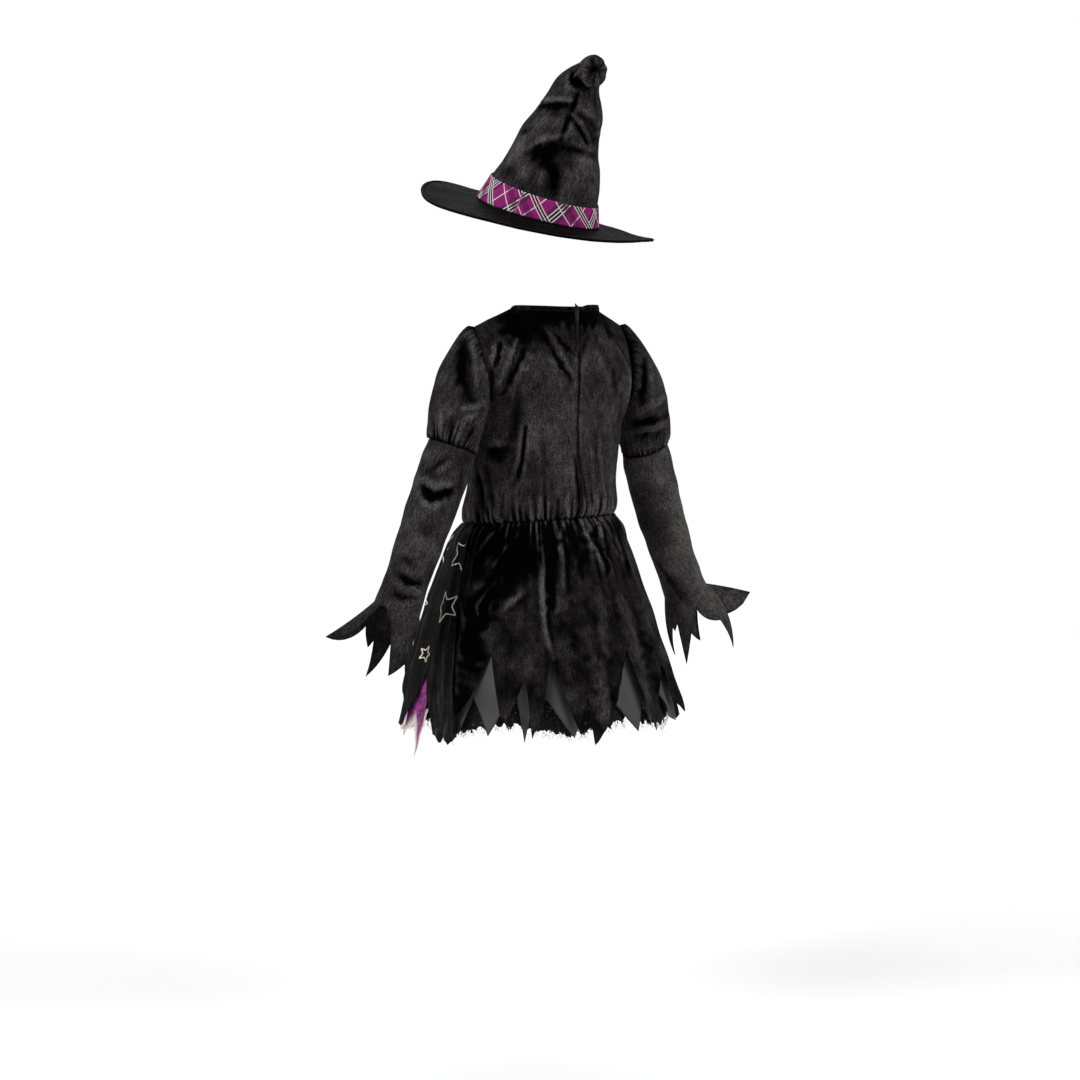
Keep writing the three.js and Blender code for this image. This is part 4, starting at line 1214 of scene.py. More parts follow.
BACK_FOLDS = {
    "left": [
        (2.8, 4.5, (84, -46), (104, -76), (119, -108)),
        (-3.0, 4.5, (78, -60), (98, -88), (114, -122)),
        (-2.8, 3.6, (107, -52), (121, -83)),
        (2.4, 3.6, (114, -56), (126, -84)),
        (-3.0, 4.5, (127, -84), (127, -100), (126, -131)),
        (-1.5, 6, (55, -39), (43, -67), (13, -105)),
        (1.1, 5, (48, -36), (34, -66), (8, -96)),
        (-1.3, 5, (38, -43), (20, -58), (3, -70)),
        (-1.6, 10, (92, -124), (94, -183), (102, -202)),
        (-2.2, 3.6, (80, -169), (83, -217), (88, -243)),
        (1.8, 3.6, (86, -170), (89, -217), (95, -246)),
        (-1.4, 3, (6, -215), (3, -260), (4, -294)),
        (1.0, 4, (13, -220), (10, -292)),
        (-1.1, 7, (57, -184), (50, -229)),
        (0.9, 7, (66, -184), (60, -232)),
        (-3.2, 9, (118, 4, -203), (112, 16, -212)),
        (1.6, 6, (119, 0, -190), (108, 24, -196)),
        (-2.8, 5, (118, -22, -238), (117, -8, -289)),
        (2.2, 5, (119, -16, -232), (116, -2, -287)),
        (-2.6, 5, (119, -4, -229), (113, 8, -285)),
        (-1.2, 5, (70, -262), (72, -298)),
        (1.3, 4, (62, -268), (63, -300)),
        (-1.2, 4, (38, -270), (40, -300)),
        (1.1, 4, (26, -276), (25, -301)),
        (-1.3, 4, (101, -262), (104, -296)),
    ],
    "right": [
        (-1.5, 9, (-37, -51), (-69, -101), (-80, -128)),
        (1.0, 8, (-26, -60), (-56, -108)),
        (-1.2, 6, (-14, -48), (-5, -72), (-3, -92)),
        (-2.0, 5, (-104, -60), (-121, -92), (-124, -128)),
        (1.8, 5, (-96, -62), (-112, -96), (-117, -126)),
        (-1.2, 6, (-35, -187), (-38, -239)),
        (-1.2, 3, (-4, -215), (-7, -260), (-5, -294)),
        (0.9, 6, (-44, -190), (-46, -240)),
        (-1.6, 8, (-96, -130), (-102, -180), (-98, -220)),
        (-2.2, 5, (-112, 16, -200), (-116, 2, -230), (-112, 8, -280)),
        (1.8, 5, (-117, -6, -220), (-113, 0, -282)),
        (-1.2, 4, (-22, -268), (-23, -300)),
        (1.2, 4, (-33, -270), (-33, -301)),
        (-1.4, 4, (-58, -262), (-60, -300)),
        (1.2, 4, (-72, -268), (-73, -300)),
        (-1.3, 4, (-90, -266), (-92, -299)),
    ],
}
FRONT_FOLDS = [
    (-2.2, 6, (96, -62), (112, -98), (116, -128)),
    (1.6, 5, (86, -66), (104, -104)),
    (-2.0, 6, (-92, -60), (-110, -94), (-118, -126)),
    (1.6, 5, (-84, -68), (-100, -108)),
    (-1.6, 8, (60, -70), (34, -104), (8, -120)),
    (-1.4, 8, (-52, -72), (-30, -100), (-6, -116)),
    (-1.8, 9, (88, -150), (78, -200), (80, -256)),
    (-1.6, 8, (-84, -160), (-74, -210), (-78, -262)),
    (1.6, 7, (66, -190), (62, -262)),
    (-1.3, 6, (30, -200), (27, -262)),
    (1.2, 6, (-22, -206), (-24, -270)),
    (-1.4, 6, (-48, -214), (-47, -276)),
    (-1.4, 4, (48, -266), (50, -300)),
    (1.3, 4, (12, -270), (11, -300)),
    (-1.4, 4, (-10, -272), (-9, -300)),
    (1.2, 4, (-62, -268), (-64, -300)),
    (-1.4, 4, (-98, -262), (-102, -298)),
]
# Painted light and shade on the bodice, with its nap: dark shoulders and neck, dark troughs and light ridges
# along the folds
BODICE_NAP_AND_SHADE = [
    (-0.2, 44, (100, 20, -28), (60, 42, -26), (20, 56, -24)),
    (-0.14, 24, (10, 60, -16), (-70, 36, -20)),
    (0.1, 30, (-30, 60, -60), (-80, 40, -90)),
    (0.08, 60, (20, 62, -190), (-20, 62, -260)),
    (-0.16, 34, (104, 16, -30), (66, 38, -20)),
    (-0.16, 18, (66, 38, -8), (0, 60, -4), (-66, 38, -8)),
    (-0.2, 26, (-70, 36, -22), (-104, 16, -32)),
    (-0.16, 20, (92, -40), (70, -36), (44, -42)),
    (0.26, 3, (84, -46), (104, -76), (119, -108)),
    (-0.34, 3.4, (78, -60), (98, -88), (114, -122)),
    (-0.3, 3, (107, -52), (121, -83)),
    (0.24, 2.6, (114, -56), (126, -84)),
    (0.2, 2.6, (70, -66), (92, -96), (108, -134)),
    (-0.2, 3.4, (55, -39), (43, -67), (13, -105)),
    (0.14, 3, (48, -36), (34, -66), (8, -96)),
    (-0.16, 3, (38, -43), (20, -58), (3, -70)),
    (0.1, 14, (70, 52, -150), (62, 52, -210)),
    (-0.34, 30, (58, 20, -8), (106, 10, -30)),
    (-0.34, 30, (-58, 20, -8), (-106, 10, -30)),
    (-0.3, 16, (66, 40, -12), (0, 62, -14), (-66, 40, -12)),
    (-0.34, 12, (116, 6, -210), (100, 30, -208)),
    (-0.16, 12, (92, 40, -130), (96, 36, -195)),
    (-0.22, 16, (-56, 48, -84), (-80, 44, -122)),
    (-0.14, 14, (40, 60, -56), (14, 66, -98)),
    (-0.18, 12, (118, -26, -225), (116, -10, -295)),
    (-0.2, 8, (130, 5, -80), (126, 8, -150)),
    (-0.2, 8, (-130, 5, -80), (-126, 8, -150)),
    (0.1, 26, (30, 62, -150), (34, 62, -250)),
    (0.08, 22, (-50, 56, -170), (-56, 56, -260)),
    (-0.2, 30, (60, -60, -60), (-60, -60, -60)),
]


def bodice_relief(points, lines):
    """Height of a bodice panel's folds, and the puckers at its waist."""
    x, y, z = np.moveaxis(points, -1, 0)
    waist = np.maximum(z - WAIST_Z, 0)
    turn = np.degrees(np.arctan2(y - WAIST_Y, x))
    return (puckers(turn, waist, 66, 2.6, 11) + puckers(turn + 2, waist, 33, 2.0, 24)
            + folds(points, placed_on(points, lines)) + ripple(x, z, 60, 0.35, 51)
            + ripple(x, z, 17, 0.12, 53))


def neck_hem(t, trunk_rows, yoke_rows):
    """The turned hem along the neckline, raised and then pressed in at its stitching; t is as in top_edge."""
    high = np.append(np.zeros(trunk_rows), np.linspace(0, 1, yoke_rows))[:, None]
    from_edge = (1 - high) * -ARMPIT_Z
    turned = 0.8 * smooth((NECK_HEM + 1.2 - from_edge) / 1.2) - 0.5 * hump(from_edge, NECK_HEM - 0.6, 0.8)
    return turned * smooth((t[None] - 0.5) / 0.03)


def bodice_panel(name, points, height, shade):
    points = raised(points, height, bodice_outward(points))
    return cloth(name, points, bodice_outward(points), VELVET, nap=shade), points


def bodice_back(side_name):
    arm = ARMS[side_name]
    columns, rows = 104, (56, 78)
    points = bodice_quarter(arm, "back", columns, *rows)
    points[:, -1, 0] = arm["side"] * SEAM_GAP / 2
    x = points[..., 0]
    hem = neck_hem(np.linspace(0, 1, columns), *rows)
    height = bodice_relief(points, BACK_FOLDS[side_name]) + seam(x) + hem
    # Painted shade along the back seam's crease
    shade = nap(points, 0.6, placed_on(points, BODICE_NAP_AND_SHADE), height) * (1 - 0.5 * hump(x, 0, 1.2))
    return bodice_panel(f"bodice_back_{side_name}_cloth", points, height, shade)


def bodice_front():
    columns, rows = 80, (46, 60)
    halves = [bodice_quarter(ARMS[name], "front", columns, *rows) for name in ("left", "right")]
    points = np.hstack([halves[0], halves[1][:, -2::-1]])
    t = np.linspace(0, 1, columns)
    height = bodice_relief(points, FRONT_FOLDS) + neck_hem(np.append(t, t[-2::-1]), *rows)
    shade = nap(points, 0.56, placed_on(points, BODICE_NAP_AND_SHADE), height)
    return bodice_panel("bodice_front_cloth", points, height, shade)


def placket(back):
    """The overlapped closure at the top of the back seam: a folded strip whose corner stands up."""
    x = np.linspace(0.3, 8, 10)
    rows = [row[::-1] for row in back[-30:]]
    points = np.stack([vec(x, *[np.interp(x, row[:, 0], row[:, i]) for i in (1, 2)]) for row in rows])
    down = np.linspace(0, 1, len(rows))[:, None]
    across = np.linspace(0, 1, len(x))[None]
    lift = 0.9 + 1.1 * hump(down, 1, 0.06) * across + 0.4 * np.sin(across * math.pi)
    points = raised(points, lift, bodice_outward(points))
    points[..., 2] += 4.5 * hump(down, 1, 0.03) * across**2
    # Painted highlight along the middle of the folded strip, painted shade at its edges
    shade = 0.34 + 0.25 * np.sin(across * math.pi) + 0 * down
    return cloth("back_placket_cloth", points, bodice_outward(points), STRIP, nap=shade)


# Sleeves

def arm_frame(arm):
    """The arm's own directions at the elbow seam: along it, outwards and backwards."""
    side = arm["side"]
    elbow, wrist = (np.array([side * p[0], p[1], p[2]], float) for p in (arm["elbow"], arm["wrist"]))
    along = unit(wrist - elbow)
    outward = unit(np.array([side, 0, 0]) - along * side * along[0])
    backward = np.array([0, 1, 0]) - along * along[1]
    backward = unit(backward - outward * outward[1])
    return elbow, wrist, along, outward, backward


def around_arm(outward, backward, turn):
    return outward * np.cos(turn * DEG)[..., None] + backward * np.sin(turn * DEG)[..., None]


PUFF_FOLDS = {
    "left": [
        (-5.0, 10, (158, 2, -50), (170, 16, -78), (177, 25, -100), (175, 36, -128)),
        (2.4, 5, (150, 10, -50), (158, 24, -84), (164, 38, -118)),
        (2.6, 5, (156, 40, -138), (166, 41, -140), (184, 36, -142)),
        (2.0, 5, (137, 2, -47), (129, 15, -72)),
        (2.2, 5, (202, 9, -181), (204, 8, -148)),
        (2.0, 5, (188, 24, -188), (183, 35, -159), (165, 41, -148)),
        (-2.0, 4, (207, -7, -174), (206, -11, -149)),
        (-2.2, 5, (195, 17, -184), (196, 24, -156)),
        (-1.8, 4, (176, 32, -186), (168, 40, -166)),
        (-2.5, 7, (150, -36, -60), (172, -44, -96)),
        (2.0, 5, (166, -34, -60), (186, -36, -100)),
        (-2.2, 5, (196, -28, -184), (198, -34, -150)),
        (2.0, 5, (178, -38, -184), (176, -46, -156)),
    ],
    "right": [
        (-3.6, 6, (-150, 30, -80), (-143, 35, -120), (-141, 31, -146)),
        (2.4, 6, (-160, 30, -88), (-153, 36, -118), (-152, 36, -138)),
        (2.6, 6, (-138, 19, -161), (-145, 34, -151), (-166, 40, -140), (-190, 26, -134)),
        (-4.4, 7, (-142, 20, -174), (-155, 37, -170), (-178, 34, -162), (-197, 24, -154)),
        (2.6, 5, (-142, 13, -186), (-153, 33, -181), (-173, 38, -176), (-192, 24, -172)),
        (-1.8, 4, (-150, 24, -196), (-152, 32, -184)),
        (-1.8, 4, (-166, 30, -198), (-168, 36, -186)),
        (-1.8, 4, (-184, 24, -198), (-188, 26, -184)),
        (-2.4, 7, (-152, -36, -64), (-170, -44, -104)),
        (2.0, 5, (-168, -34, -64), (-186, -36, -104)),
        (-2.2, 5, (-196, -28, -190), (-200, -34, -158)),
        (2.0, 5, (-176, -36, -192), (-176, -44, -162)),
    ],
}
# Painted shade in the puffs' deepest hollows
PUFF_NAP_AND_SHADE = {
    "left": [
        (-0.34, 13, (160, 4, -56), (172, 20, -86), (176, 34, -124)),
        (-0.2, 14, (128, 10, -60), (132, 14, -110)),
    ],
    "right": [
        (-0.26, 9, (-150, 30, -84), (-142, 32, -142)),
        (-0.3, 8, (-143, 22, -172), (-160, 37, -168), (-190, 28, -158)),
    ],
}


def sleeve_puff(side_name):
    """The puffed upper sleeve, from the armhole to the seam above the elbow."""
    arm = ARMS[side_name]
    elbow, _, _, outward, backward = arm_frame(arm)
    columns, rows = 200, 66
    turn = np.arange(columns) * 360 / columns
    start = np.where((turn <= 180)[:, None], armhole(arm, "back", np.abs(1 - turn / 180)),
                     armhole(arm, "front", np.abs(1 - turn / 180)))
    start[:, 0] += arm["side"] * SEAM_GAP
    share, turn = np.meshgrid(np.linspace(0, 1, rows), turn, indexing="ij")
    radial = around_arm(outward, backward, turn)
    end = elbow + radial[0] * SLEEVE.column("radius")[0]
    up, aside = np.cos(turn * DEG), np.sin(turn * DEG)
    top = (1 + up) / 2
    swell = np.where((share > 0) & (share < 1), np.sin(math.pi * share**0.75).clip(0) ** 0.6, 0)
    bulge = mix(2, 27, top**0.9) + 5 * aside
    ends = np.exp(-9 * share) + np.exp(-9 * (1 - share))
    gather = SLEEVE_GATHER_HEIGHT * ends * smooth(top * 2.5) * np.cos((SLEEVE_GATHERS * turn + 20) * DEG)
    reach = np.where(share == 0, 0, bulge * swell + gather)
    points = mix(start[None], end[None], share[..., None])
    points = points + outward * (reach * np.maximum(0, up))[..., None] + backward * (reach * aside)[..., None]
    below = share * PUFF_LENGTH
    above = PUFF_LENGTH - below
    pucker = (puckers(turn, below, 46, 1.1, 8) + puckers(turn, above, 40, 1.2, 11)
              + puckers(turn + 5, above, 21, 1.2, 22)) * smooth(share / 0.02)
    height = pucker + folds(points, PUFF_FOLDS[side_name]) + ripple(turn * 0.8, below, 45, 0.5, 61)
    shade = nap(points, 0.66, PUFF_NAP_AND_SHADE[side_name], height)
    # Painted shade in the gathered seams at both ends of the puff
    shade = shade * (1 - 0.8 * np.exp(-below / 2.5)) * (1 - 0.8 * np.exp(-above / 2.0))
    points = raised(points, height, radial, closed=True)
    return cloth(f"sleeve_puff_{side_name}_cloth", points, radial, VELVET, closed=True, nap=shade)


# Folds of the lower sleeve run through turns and distances down it
SLEEVE_FRONT_FOLDS = [
    (-2.2, 7, (250, 60), (285, 76), (320, 70)),
    (1.6, 6, (246, 48), (284, 60)),
    (-2.0, 6, (236, 190), (280, 200), (318, 196)),
]
SLEEVE_FOLDS = {
    "left": [
        (-4.6, 7, (16, 70), (50, 80), (86, 66)),
        (2.4, 5, (16, 60), (50, 66), (88, 53)),
        (1.4, 5, (30, 90), (70, 92)),
        (-1.4, 5, (25, 46), (55, 21)),
        (1.2, 5, (42, 46), (70, 24)),
        (-1.0, 6, (95, 30), (120, 60)),
        (-2.4, 5, (30, 196), (62, 204), (97, 200)),
        (1.6, 4.5, (30, 207), (66, 214), (100, 210)),
        (-1.6, 4, (40, 224), (60, 226), (100, 219)),
        (1.4, 5, (34, 186), (64, 190), (92, 184)),
        (-1.2, 5, (26, 172), (58, 176)),
        (-1.0, 9, (50, 120), (90, 150)),
        *SLEEVE_FRONT_FOLDS,
        (-1.4, 8, (160, 70), (200, 90)),
    ],
    "right": [
        (-2.4, 8, (196, 150), (170, 190), (148, 226), (129, 250)),
        (1.4, 8, (176, 150), (150, 190), (126, 226)),
        (-1.0, 10, (60, 90), (110, 120)),
        (1.0, 8, (40, 214), (67, 226), (92, 236)),
        (-1.2, 6, (70, 12), (96, 40)),
        (1.0, 6, (110, 14), (128, 44)),
        (-0.8, 8, (110, 60), (150, 84)),
        *SLEEVE_FRONT_FOLDS,
    ],
}
# Painted light and shade on the lower sleeves: dark troughs and light ridges of the folds
SLEEVE_NAP_AND_SHADE = {
    "left": [
        (-0.4, 9, (24, 71), (52, 79), (80, 67)),
        (-0.26, 6, (40, 198), (92, 200)),
        (0.16, 4, (36, 209), (92, 212)),
        (0.16, 4, (24, 60), (60, 64)),
        (0.08, 16, (60, 130), (70, 160)),
    ],
    "right": [
        (-0.3, 8, (190, 160), (160, 204), (129, 250)),
        (0.08, 16, (90, 60), (100, 200)),
    ],
}


def sleeve_lower(side_name, cuff):
    """The lower sleeve: a plain tube whose wrist edge is cut into long points."""
    arm = ARMS[side_name]
    side = arm["side"]
    elbow, wrist, along_arm, outward, backward = arm_frame(arm)
    turns = cuff.spread(2.4)[:-1]
    tube_rows, cuff_rows = 70, 26
    along = np.append(np.linspace(0, 1, tube_rows), np.ones(cuff_rows))[:, None]
    share = np.append(np.zeros(tube_rows), np.linspace(0, 1, cuff_rows + 1)[1:])[:, None]
    along, turn = np.broadcast_arrays(along, turns[None])
    radial = around_arm(outward, backward, turn)
    middle = np.sin(math.pi * along)
    crease = 0.35 * middle * np.sin(along * 21 + 1.6 * np.cos((turn - 60) * DEG))
    centre = mix(elbow, wrist, along[..., None]) + along_arm * (SEAM_GAP * (1 - along))[..., None]
    centre = centre + np.array([side * arm["bow"], 0, 0]) * middle[..., None]
    points = centre + radial * (SLEEVE.at("radius", along) + crease)[..., None]

    def way(out):
        return vec(side * out, 0 * out, -np.sqrt(1 - out**2))

    def on_sleeve(at, down):
        radius = SLEEVE.at("radius", down / LOWER_LENGTH)
        return elbow + along_arm * down + around_arm(outward, backward, np.array(float(at))) * radius

    length, out, hook = (cuff.straight(name, turns) for name in ("length", "out", "hook"))
    points = points + way(out)[None] * (length * (share - share**2 / 2))[..., None]
    points = points + way(hook)[None] * (length * share**2 / 2)[..., None]
    below = along * LOWER_LENGTH
    height = (folds(points, placed(on_sleeve, SLEEVE_FOLDS[side_name])) * (1 - share)
              + ripple(turn * 0.6, below, 40, 0.4, 71) + 0.5 * hump(below, 3, 2.5))
    shade = nap(points, arm["nap"], placed(on_sleeve, SLEEVE_NAP_AND_SHADE[side_name]), height)
    # Painted shade along the elbow seam; the points are darker towards their tips
    shade = shade * (1 - 0.85 * np.exp(-below / 1.6)) * mix(1, 0.7, share)
    points = raised(points, height, radial, closed=True)
    return cloth(f"sleeve_lower_{side_name}_cloth", points, radial, VELVET, closed=True, nap=shade)


# Hat

def hat_place(points):
    """From the hat's own directions to the costume's: tilted back, rolled and turned."""
    def spin(axis, degrees):
        c, s = math.cos(degrees * DEG), math.sin(degrees * DEG)
        turns = {"x": [[1, 0, 0], [0, c, -s], [0, s, c]], "y": [[c, 0, s], [0, 1, 0], [-s, 0, c]],
                 "z": [[c, -s, 0], [s, c, 0], [0, 0, 1]]}
        return np.array(turns[axis])

    turned = spin("z", HAT_TURN) @ spin("x", HAT_TILT) @ spin("y", HAT_ROLL)
    return points @ turned.T + np.array(HAT_PLACE, float)


def hat_way(points, way):
    """A direction at points of the hat, turned as the hat is."""
    return hat_place(points + way) - hat_place(points)


def crown_point(up, turn):
    """turn 0 is the wearer's left of the hat and turn 90 its back."""
    row = {name: CROWN.at(name, up) for name in ("back", "left", "radius", "lean")}
    share = mix(HEAD_SHARE, 1, smooth(up / 90))
    creased = CROWN_CREASE * smooth(up / 40) * smooth((200 - up) / 60)
    crease = creased * np.sin(up * 0.115 + 2 * np.cos((turn + 40) * DEG))
    radius = row["radius"] + crease
    back, left = radius * np.sin(turn * DEG), radius * share * np.cos(turn * DEG)
    flop = np.arctan2(row["left"], np.maximum(row["back"], 1))
    lean = row["lean"] * DEG
    along = back * np.cos(flop) + left * np.sin(flop)
    across = left * np.cos(flop) - back * np.sin(flop)
    level = along * np.cos(lean)
    return vec(row["left"] + level * np.sin(flop) + across * np.cos(flop),
               row["back"] + level * np.cos(flop) - across * np.sin(flop), up - along * np.sin(lean))


CREASE_KNOT = (19, 67, 269)
CROWN_FOLDS = [
    (-4.4, 4, (-1, 93, 344), (6, 94, 330), (-3, 91, 315)),
    (3.2, 3.4, (9, 90, 342), (13, 88, 331), (8, 84, 316)),
    (2.8, 3.4, (-11, 90, 338), (-12, 88, 322)),
    (-3.6, 4.5, (13, 60, 325), (11, 69, 311), (-2, 74, 303), (-16, 76, 304)),
    (2.4, 4, (9, 78, 318), (2, 79, 309), (-12, 80, 309)),
    (-3.2, 3.4, (10, 70, 336), (13, 60, 329), (17, 58, 314)),
    (2.8, 3.4, (14, 55, 322), (19, 58, 308), (10, 68, 299)),
    (-2.0, 4, (8, 70, 298), (12, 70, 284), CREASE_KNOT),
    (3.2, 3.6, (28, 10, 289), (31, 32, 290), (29, 50, 288), (18, 66, 287)),
    (-3.0, 6, (31, 14, 280), (33, 34, 280), (29, 52, 279), (20, 65, 278)),
    (3.2, 3.4, CREASE_KNOT, (5, 71, 256), (-13, 70, 234)),
    (-3.0, 3.6, (15, 67, 262), (2, 70, 246), (-12, 70, 226)),
    (-2.2, 6, CREASE_KNOT, (23, 62, 256), (29, 60, 236)),
    (1.4, 4, (26, 64, 268), (30, 60, 252), (36, 55, 238)),
    (-2.0, 5, (6, 71, 266), (-6, 73, 260), (-28, 68, 247)),
    (1.4, 4, (4, 72, 274), (-10, 73, 266), (-30, 66, 256)),
    (-5.0, 13, (57, 24, 214), (45, 46, 210), (30, 59, 216)),
    (-3.2, 10, (42, 50, 200), (37, 54, 182), (36, 55, 160)),
    (2.4, 5, (63, 6, 216), (56, 28, 227), (45, 47, 235), (28, 61, 238)),
    (-2.2, 5, (17, 65, 219), (2, 67, 216), (-33, 56, 208)),
    (1.4, 5, (14, 66, 227), (-6, 68, 223), (-36, 54, 218)),
    (-2.0, 4, (-24, 67, 246), (-41, 54, 252)),
    (-1.8, 4, (-20, 66, 234), (-42, 50, 234)),
    (-2.4, 7, (62, -20, 250), (50, 8, 246), (46, 20, 250)),
    (-2.0, 8, (70, -20, 190), (66, 8, 180)),
    (-3.0, 9, (-30, -40, 240), (-10, -46, 226), (20, -44, 232)),
    (2.0, 7, (-34, -36, 256), (0, -42, 250), (24, -34, 256)),
    (-2.6, 9, (-60, 0, 190), (-58, -30, 200), (-40, -54, 196)),
    (-2.4, 8, (20, -66, 190), (46, -56, 200)),
]
# Painted light and shade on the crown, with its nap: dark hollows and troughs, light ridges of its creases,
# and a broad lighter patch
CROWN_NAP_AND_SHADE = [
    (0.22, 30, (60, 8, 250), (74, -4, 190)),
    (-0.3, 5, (2, 93, 338), (1, 92, 322)),
    (0.18, 3.5, (9, 90, 340), (12, 88, 331), (8, 84, 318)),
    (-0.36, 5, (14, 60, 324), (9, 70, 310), (-8, 75, 303)),
    (0.2, 4, (30, 16, 289), (31, 40, 290), (24, 58, 288)),
    (0.2, 3.5, (18, 68, 267), (5, 71, 257), (-12, 70, 235)),
    (0.16, 4, (58, 22, 228), (45, 47, 237), (28, 61, 240)),
    (0.14, 4, (14, 67, 228), (-6, 69, 224), (-36, 55, 219)),
    (-0.18, 5, (4, 70, 248), (-12, 71, 228)),
    (-0.28, 20, (58, 22, 212), (45, 46, 206), (26, 60, 217)),
    (-0.16, 9, (30, 58, 228), (16, 64, 226)),
    (-0.26, 15, (44, 50, 196), (38, 54, 160)),
    (-0.32, 12, (31, 20, 277), (30, 50, 276), (22, 63, 272)),
    (-0.25, 9, (16, 62, 318), (9, 70, 303), (10, 70, 285)),
    (-0.16, 12, (2, 69, 250), (-20, 66, 240)),
    (0.1, 14, (50, 8, 240), (60, -14, 214)),
    (0.08, 18, (-10, 66, 190), (-14, 66, 165)),
]


def hat_crown():
    """The crown goes a little way into the brim, so that no light shows under the band."""
    up = np.append(np.linspace(CROWN_FOOT, 200, 96), np.linspace(201, 221, 30))
    up, turn = np.meshgrid(up, np.arange(160) * 2.25, indexing="ij")
    middle = hat_place(vec(CROWN.at("left", up), CROWN.at("back", up), up - 4))
    points = hat_place(crown_point(up, turn))
    outward = points - middle
    height = folds(points, CROWN_FOLDS) + ripple(turn, up, 46, 0.7, 81) * smooth((up - 30) / 30)
    shade = nap(points, 0.64, CROWN_NAP_AND_SHADE, height)
    points = raised(points, height, outward, closed=True)
    return cloth("hat_crown_cloth", points, outward, VELVET, closed=True, tip=True, nap=shade)


def hat_band():
    """The band lies on the crown's lowest stretch, from the brim up, with its edges turned in."""
    turn = np.arange(240) * 1.5
    foot = crown_point(np.full_like(turn, 0.6), turn)
    head = crown_point(np.full_like(turn, BAND_HEIGHT), turn)
    share = np.linspace(0.98, 0.02, 26)[:, None, None]
    points = mix(foot[None], head[None], share)
    outward = unit(points * np.array([1, 1, 0]))
    up = share[..., 0] * BAND_HEIGHT
    from_edge = np.minimum(up, BAND_HEIGHT - up)
    height = 1.5 + 0.7 * smooth(from_edge / 1.6) + ripple(turn[None] * 1.4, up, 60, 0.3, 91)
    points = points + outward * height[..., None]
    return cloth("hat_band_cloth", hat_place(points), hat_way(points, outward), STRIP, closed=True)


# How far in from the brim's edge its wire and its stitching lie
RIM_WIRE, RIM_STITCHING = 2.4, 5.6


def hat_brim():
    """The round brim droops at the wearer's right; its wired edge is bound and stitched."""
    inner = CROWN_RADIUS - CROWN_WALL
    share = np.append(np.linspace(0, 0.91, 24), np.linspace(0.92, 1, 14))[:, None]
    turn = np.arange(256)[None] * 360 / 256
    share, turn = np.broadcast_arrays(share, turn)
    back = mix(inner, BRIM_RADIUS, share) * np.sin(turn * DEG)
    left = mix(inner * HEAD_SHARE, BRIM_RADIUS, share) * np.cos(turn * DEG)
    from_edge = (1 - share) * (BRIM_RADIUS - CROWN_RADIUS)
    wire = 1.1 * hump(from_edge, RIM_WIRE, 1.8) - 0.6 * hump(from_edge, RIM_STITCHING, 0.9)
    droop = BRIM_EDGE.at("droop", turn) * share**1.4
    uneven = ripple(left, back, 50, 0.6, 95) + ripple(left, back, 16, 0.15, 96)
    points = vec(left, back, wire + uneven * np.minimum(1, (1 - share) * 5) - droop)
    # Painted shade: the brim's pile is painted much darker than the crown's, with a painted highlight over
    # the wire at its edge and painted shade along the stitching
    shade = 0.12 - 0.06 * hump(from_edge, RIM_STITCHING, 1.2) + 0.14 * hump(from_edge, RIM_WIRE, 1.6)
    placed_points = hat_place(points)
    piece = cloth("hat_brim_cloth", placed_points, hat_way(points, (0, 0, 1)), BRIM, closed=True,
                  from_edge=from_edge * MM, nap=shade)
    return piece, placed_points


# Stars

def star_outline(middle_turn, middle_z, tip_turn, size, stroke=1.8):
    """A star's outline as a ribbon in four rings, and how far it lies inside the overlay's edges."""
    angles = (tip_turn + 36 * np.arange(10)) * DEG
    radius = size / 2 * np.where(np.arange(10) % 2 == 0, 1, 0.43)
    corners = np.stack([radius * np.sin(angles), radius * np.cos(angles)], 1)
    line = np.concatenate([np.linspace(a, b, 8, endpoint=False)
                           for a, b in zip(corners, np.roll(corners, -1, 0))])
    line = (np.roll(line, 1, 0) + 2 * line + np.roll(line, -1, 0)) / 4
    ahead = unit(np.roll(line, -1, 0) - np.roll(line, 1, 0))
    side = np.stack([ahead[:, 1], -ahead[:, 0]], 1)
    rings, inside = [], []
    for share, out in ((-0.5, -0.2), (-0.3, 0.45), (0.3, 0.45), (0.5, -0.2)):
        ring = line + side * share * stroke
        z = middle_z + ring[:, 1]
        turn = middle_turn + ring[:, 0] / SKIRT.at("side", z) / DEG
        rings.append(overlay_point(turn, z, out))
        above_hem = z - OVERLAY_HEM.straight("z", turn) - 1.5
        inside.append(np.minimum(OVERLAY_EDGE.at("turn", z) - turn, above_hem))
    return np.array(rings), np.array(inside)


STAR_SIZE = 47
# Each row of stars: the first one's turn, the degrees between them, their level, the first one's size in
# millimetres, and how far all of them are spun
STAR_ROWS = [
    (3.5, 38, -350, 58, 0),
    (0, 40, -424, STAR_SIZE, 180),
    (-12, 41, -494, 24, 0),
    (-50, 30, -552, STAR_SIZE, 0),
]


def star_places():
    """Staggered rows of stars, about 60 mm apart; the first of the top row is cut by the overlay's edge."""
    chance = np.random.default_rng(7)
    for first, apart, z, first_size, spin in STAR_ROWS:
        for i in range(8):
            turn = first - i * apart
            if turn > -176:
                shift = 0 if i == 0 else chance.uniform(-5, 5)
                tip = chance.uniform(-25, 25) + (12 if i == 0 else 0) + spin
                yield turn + shift * 0.3, z + shift, tip, first_size if i == 0 else STAR_SIZE


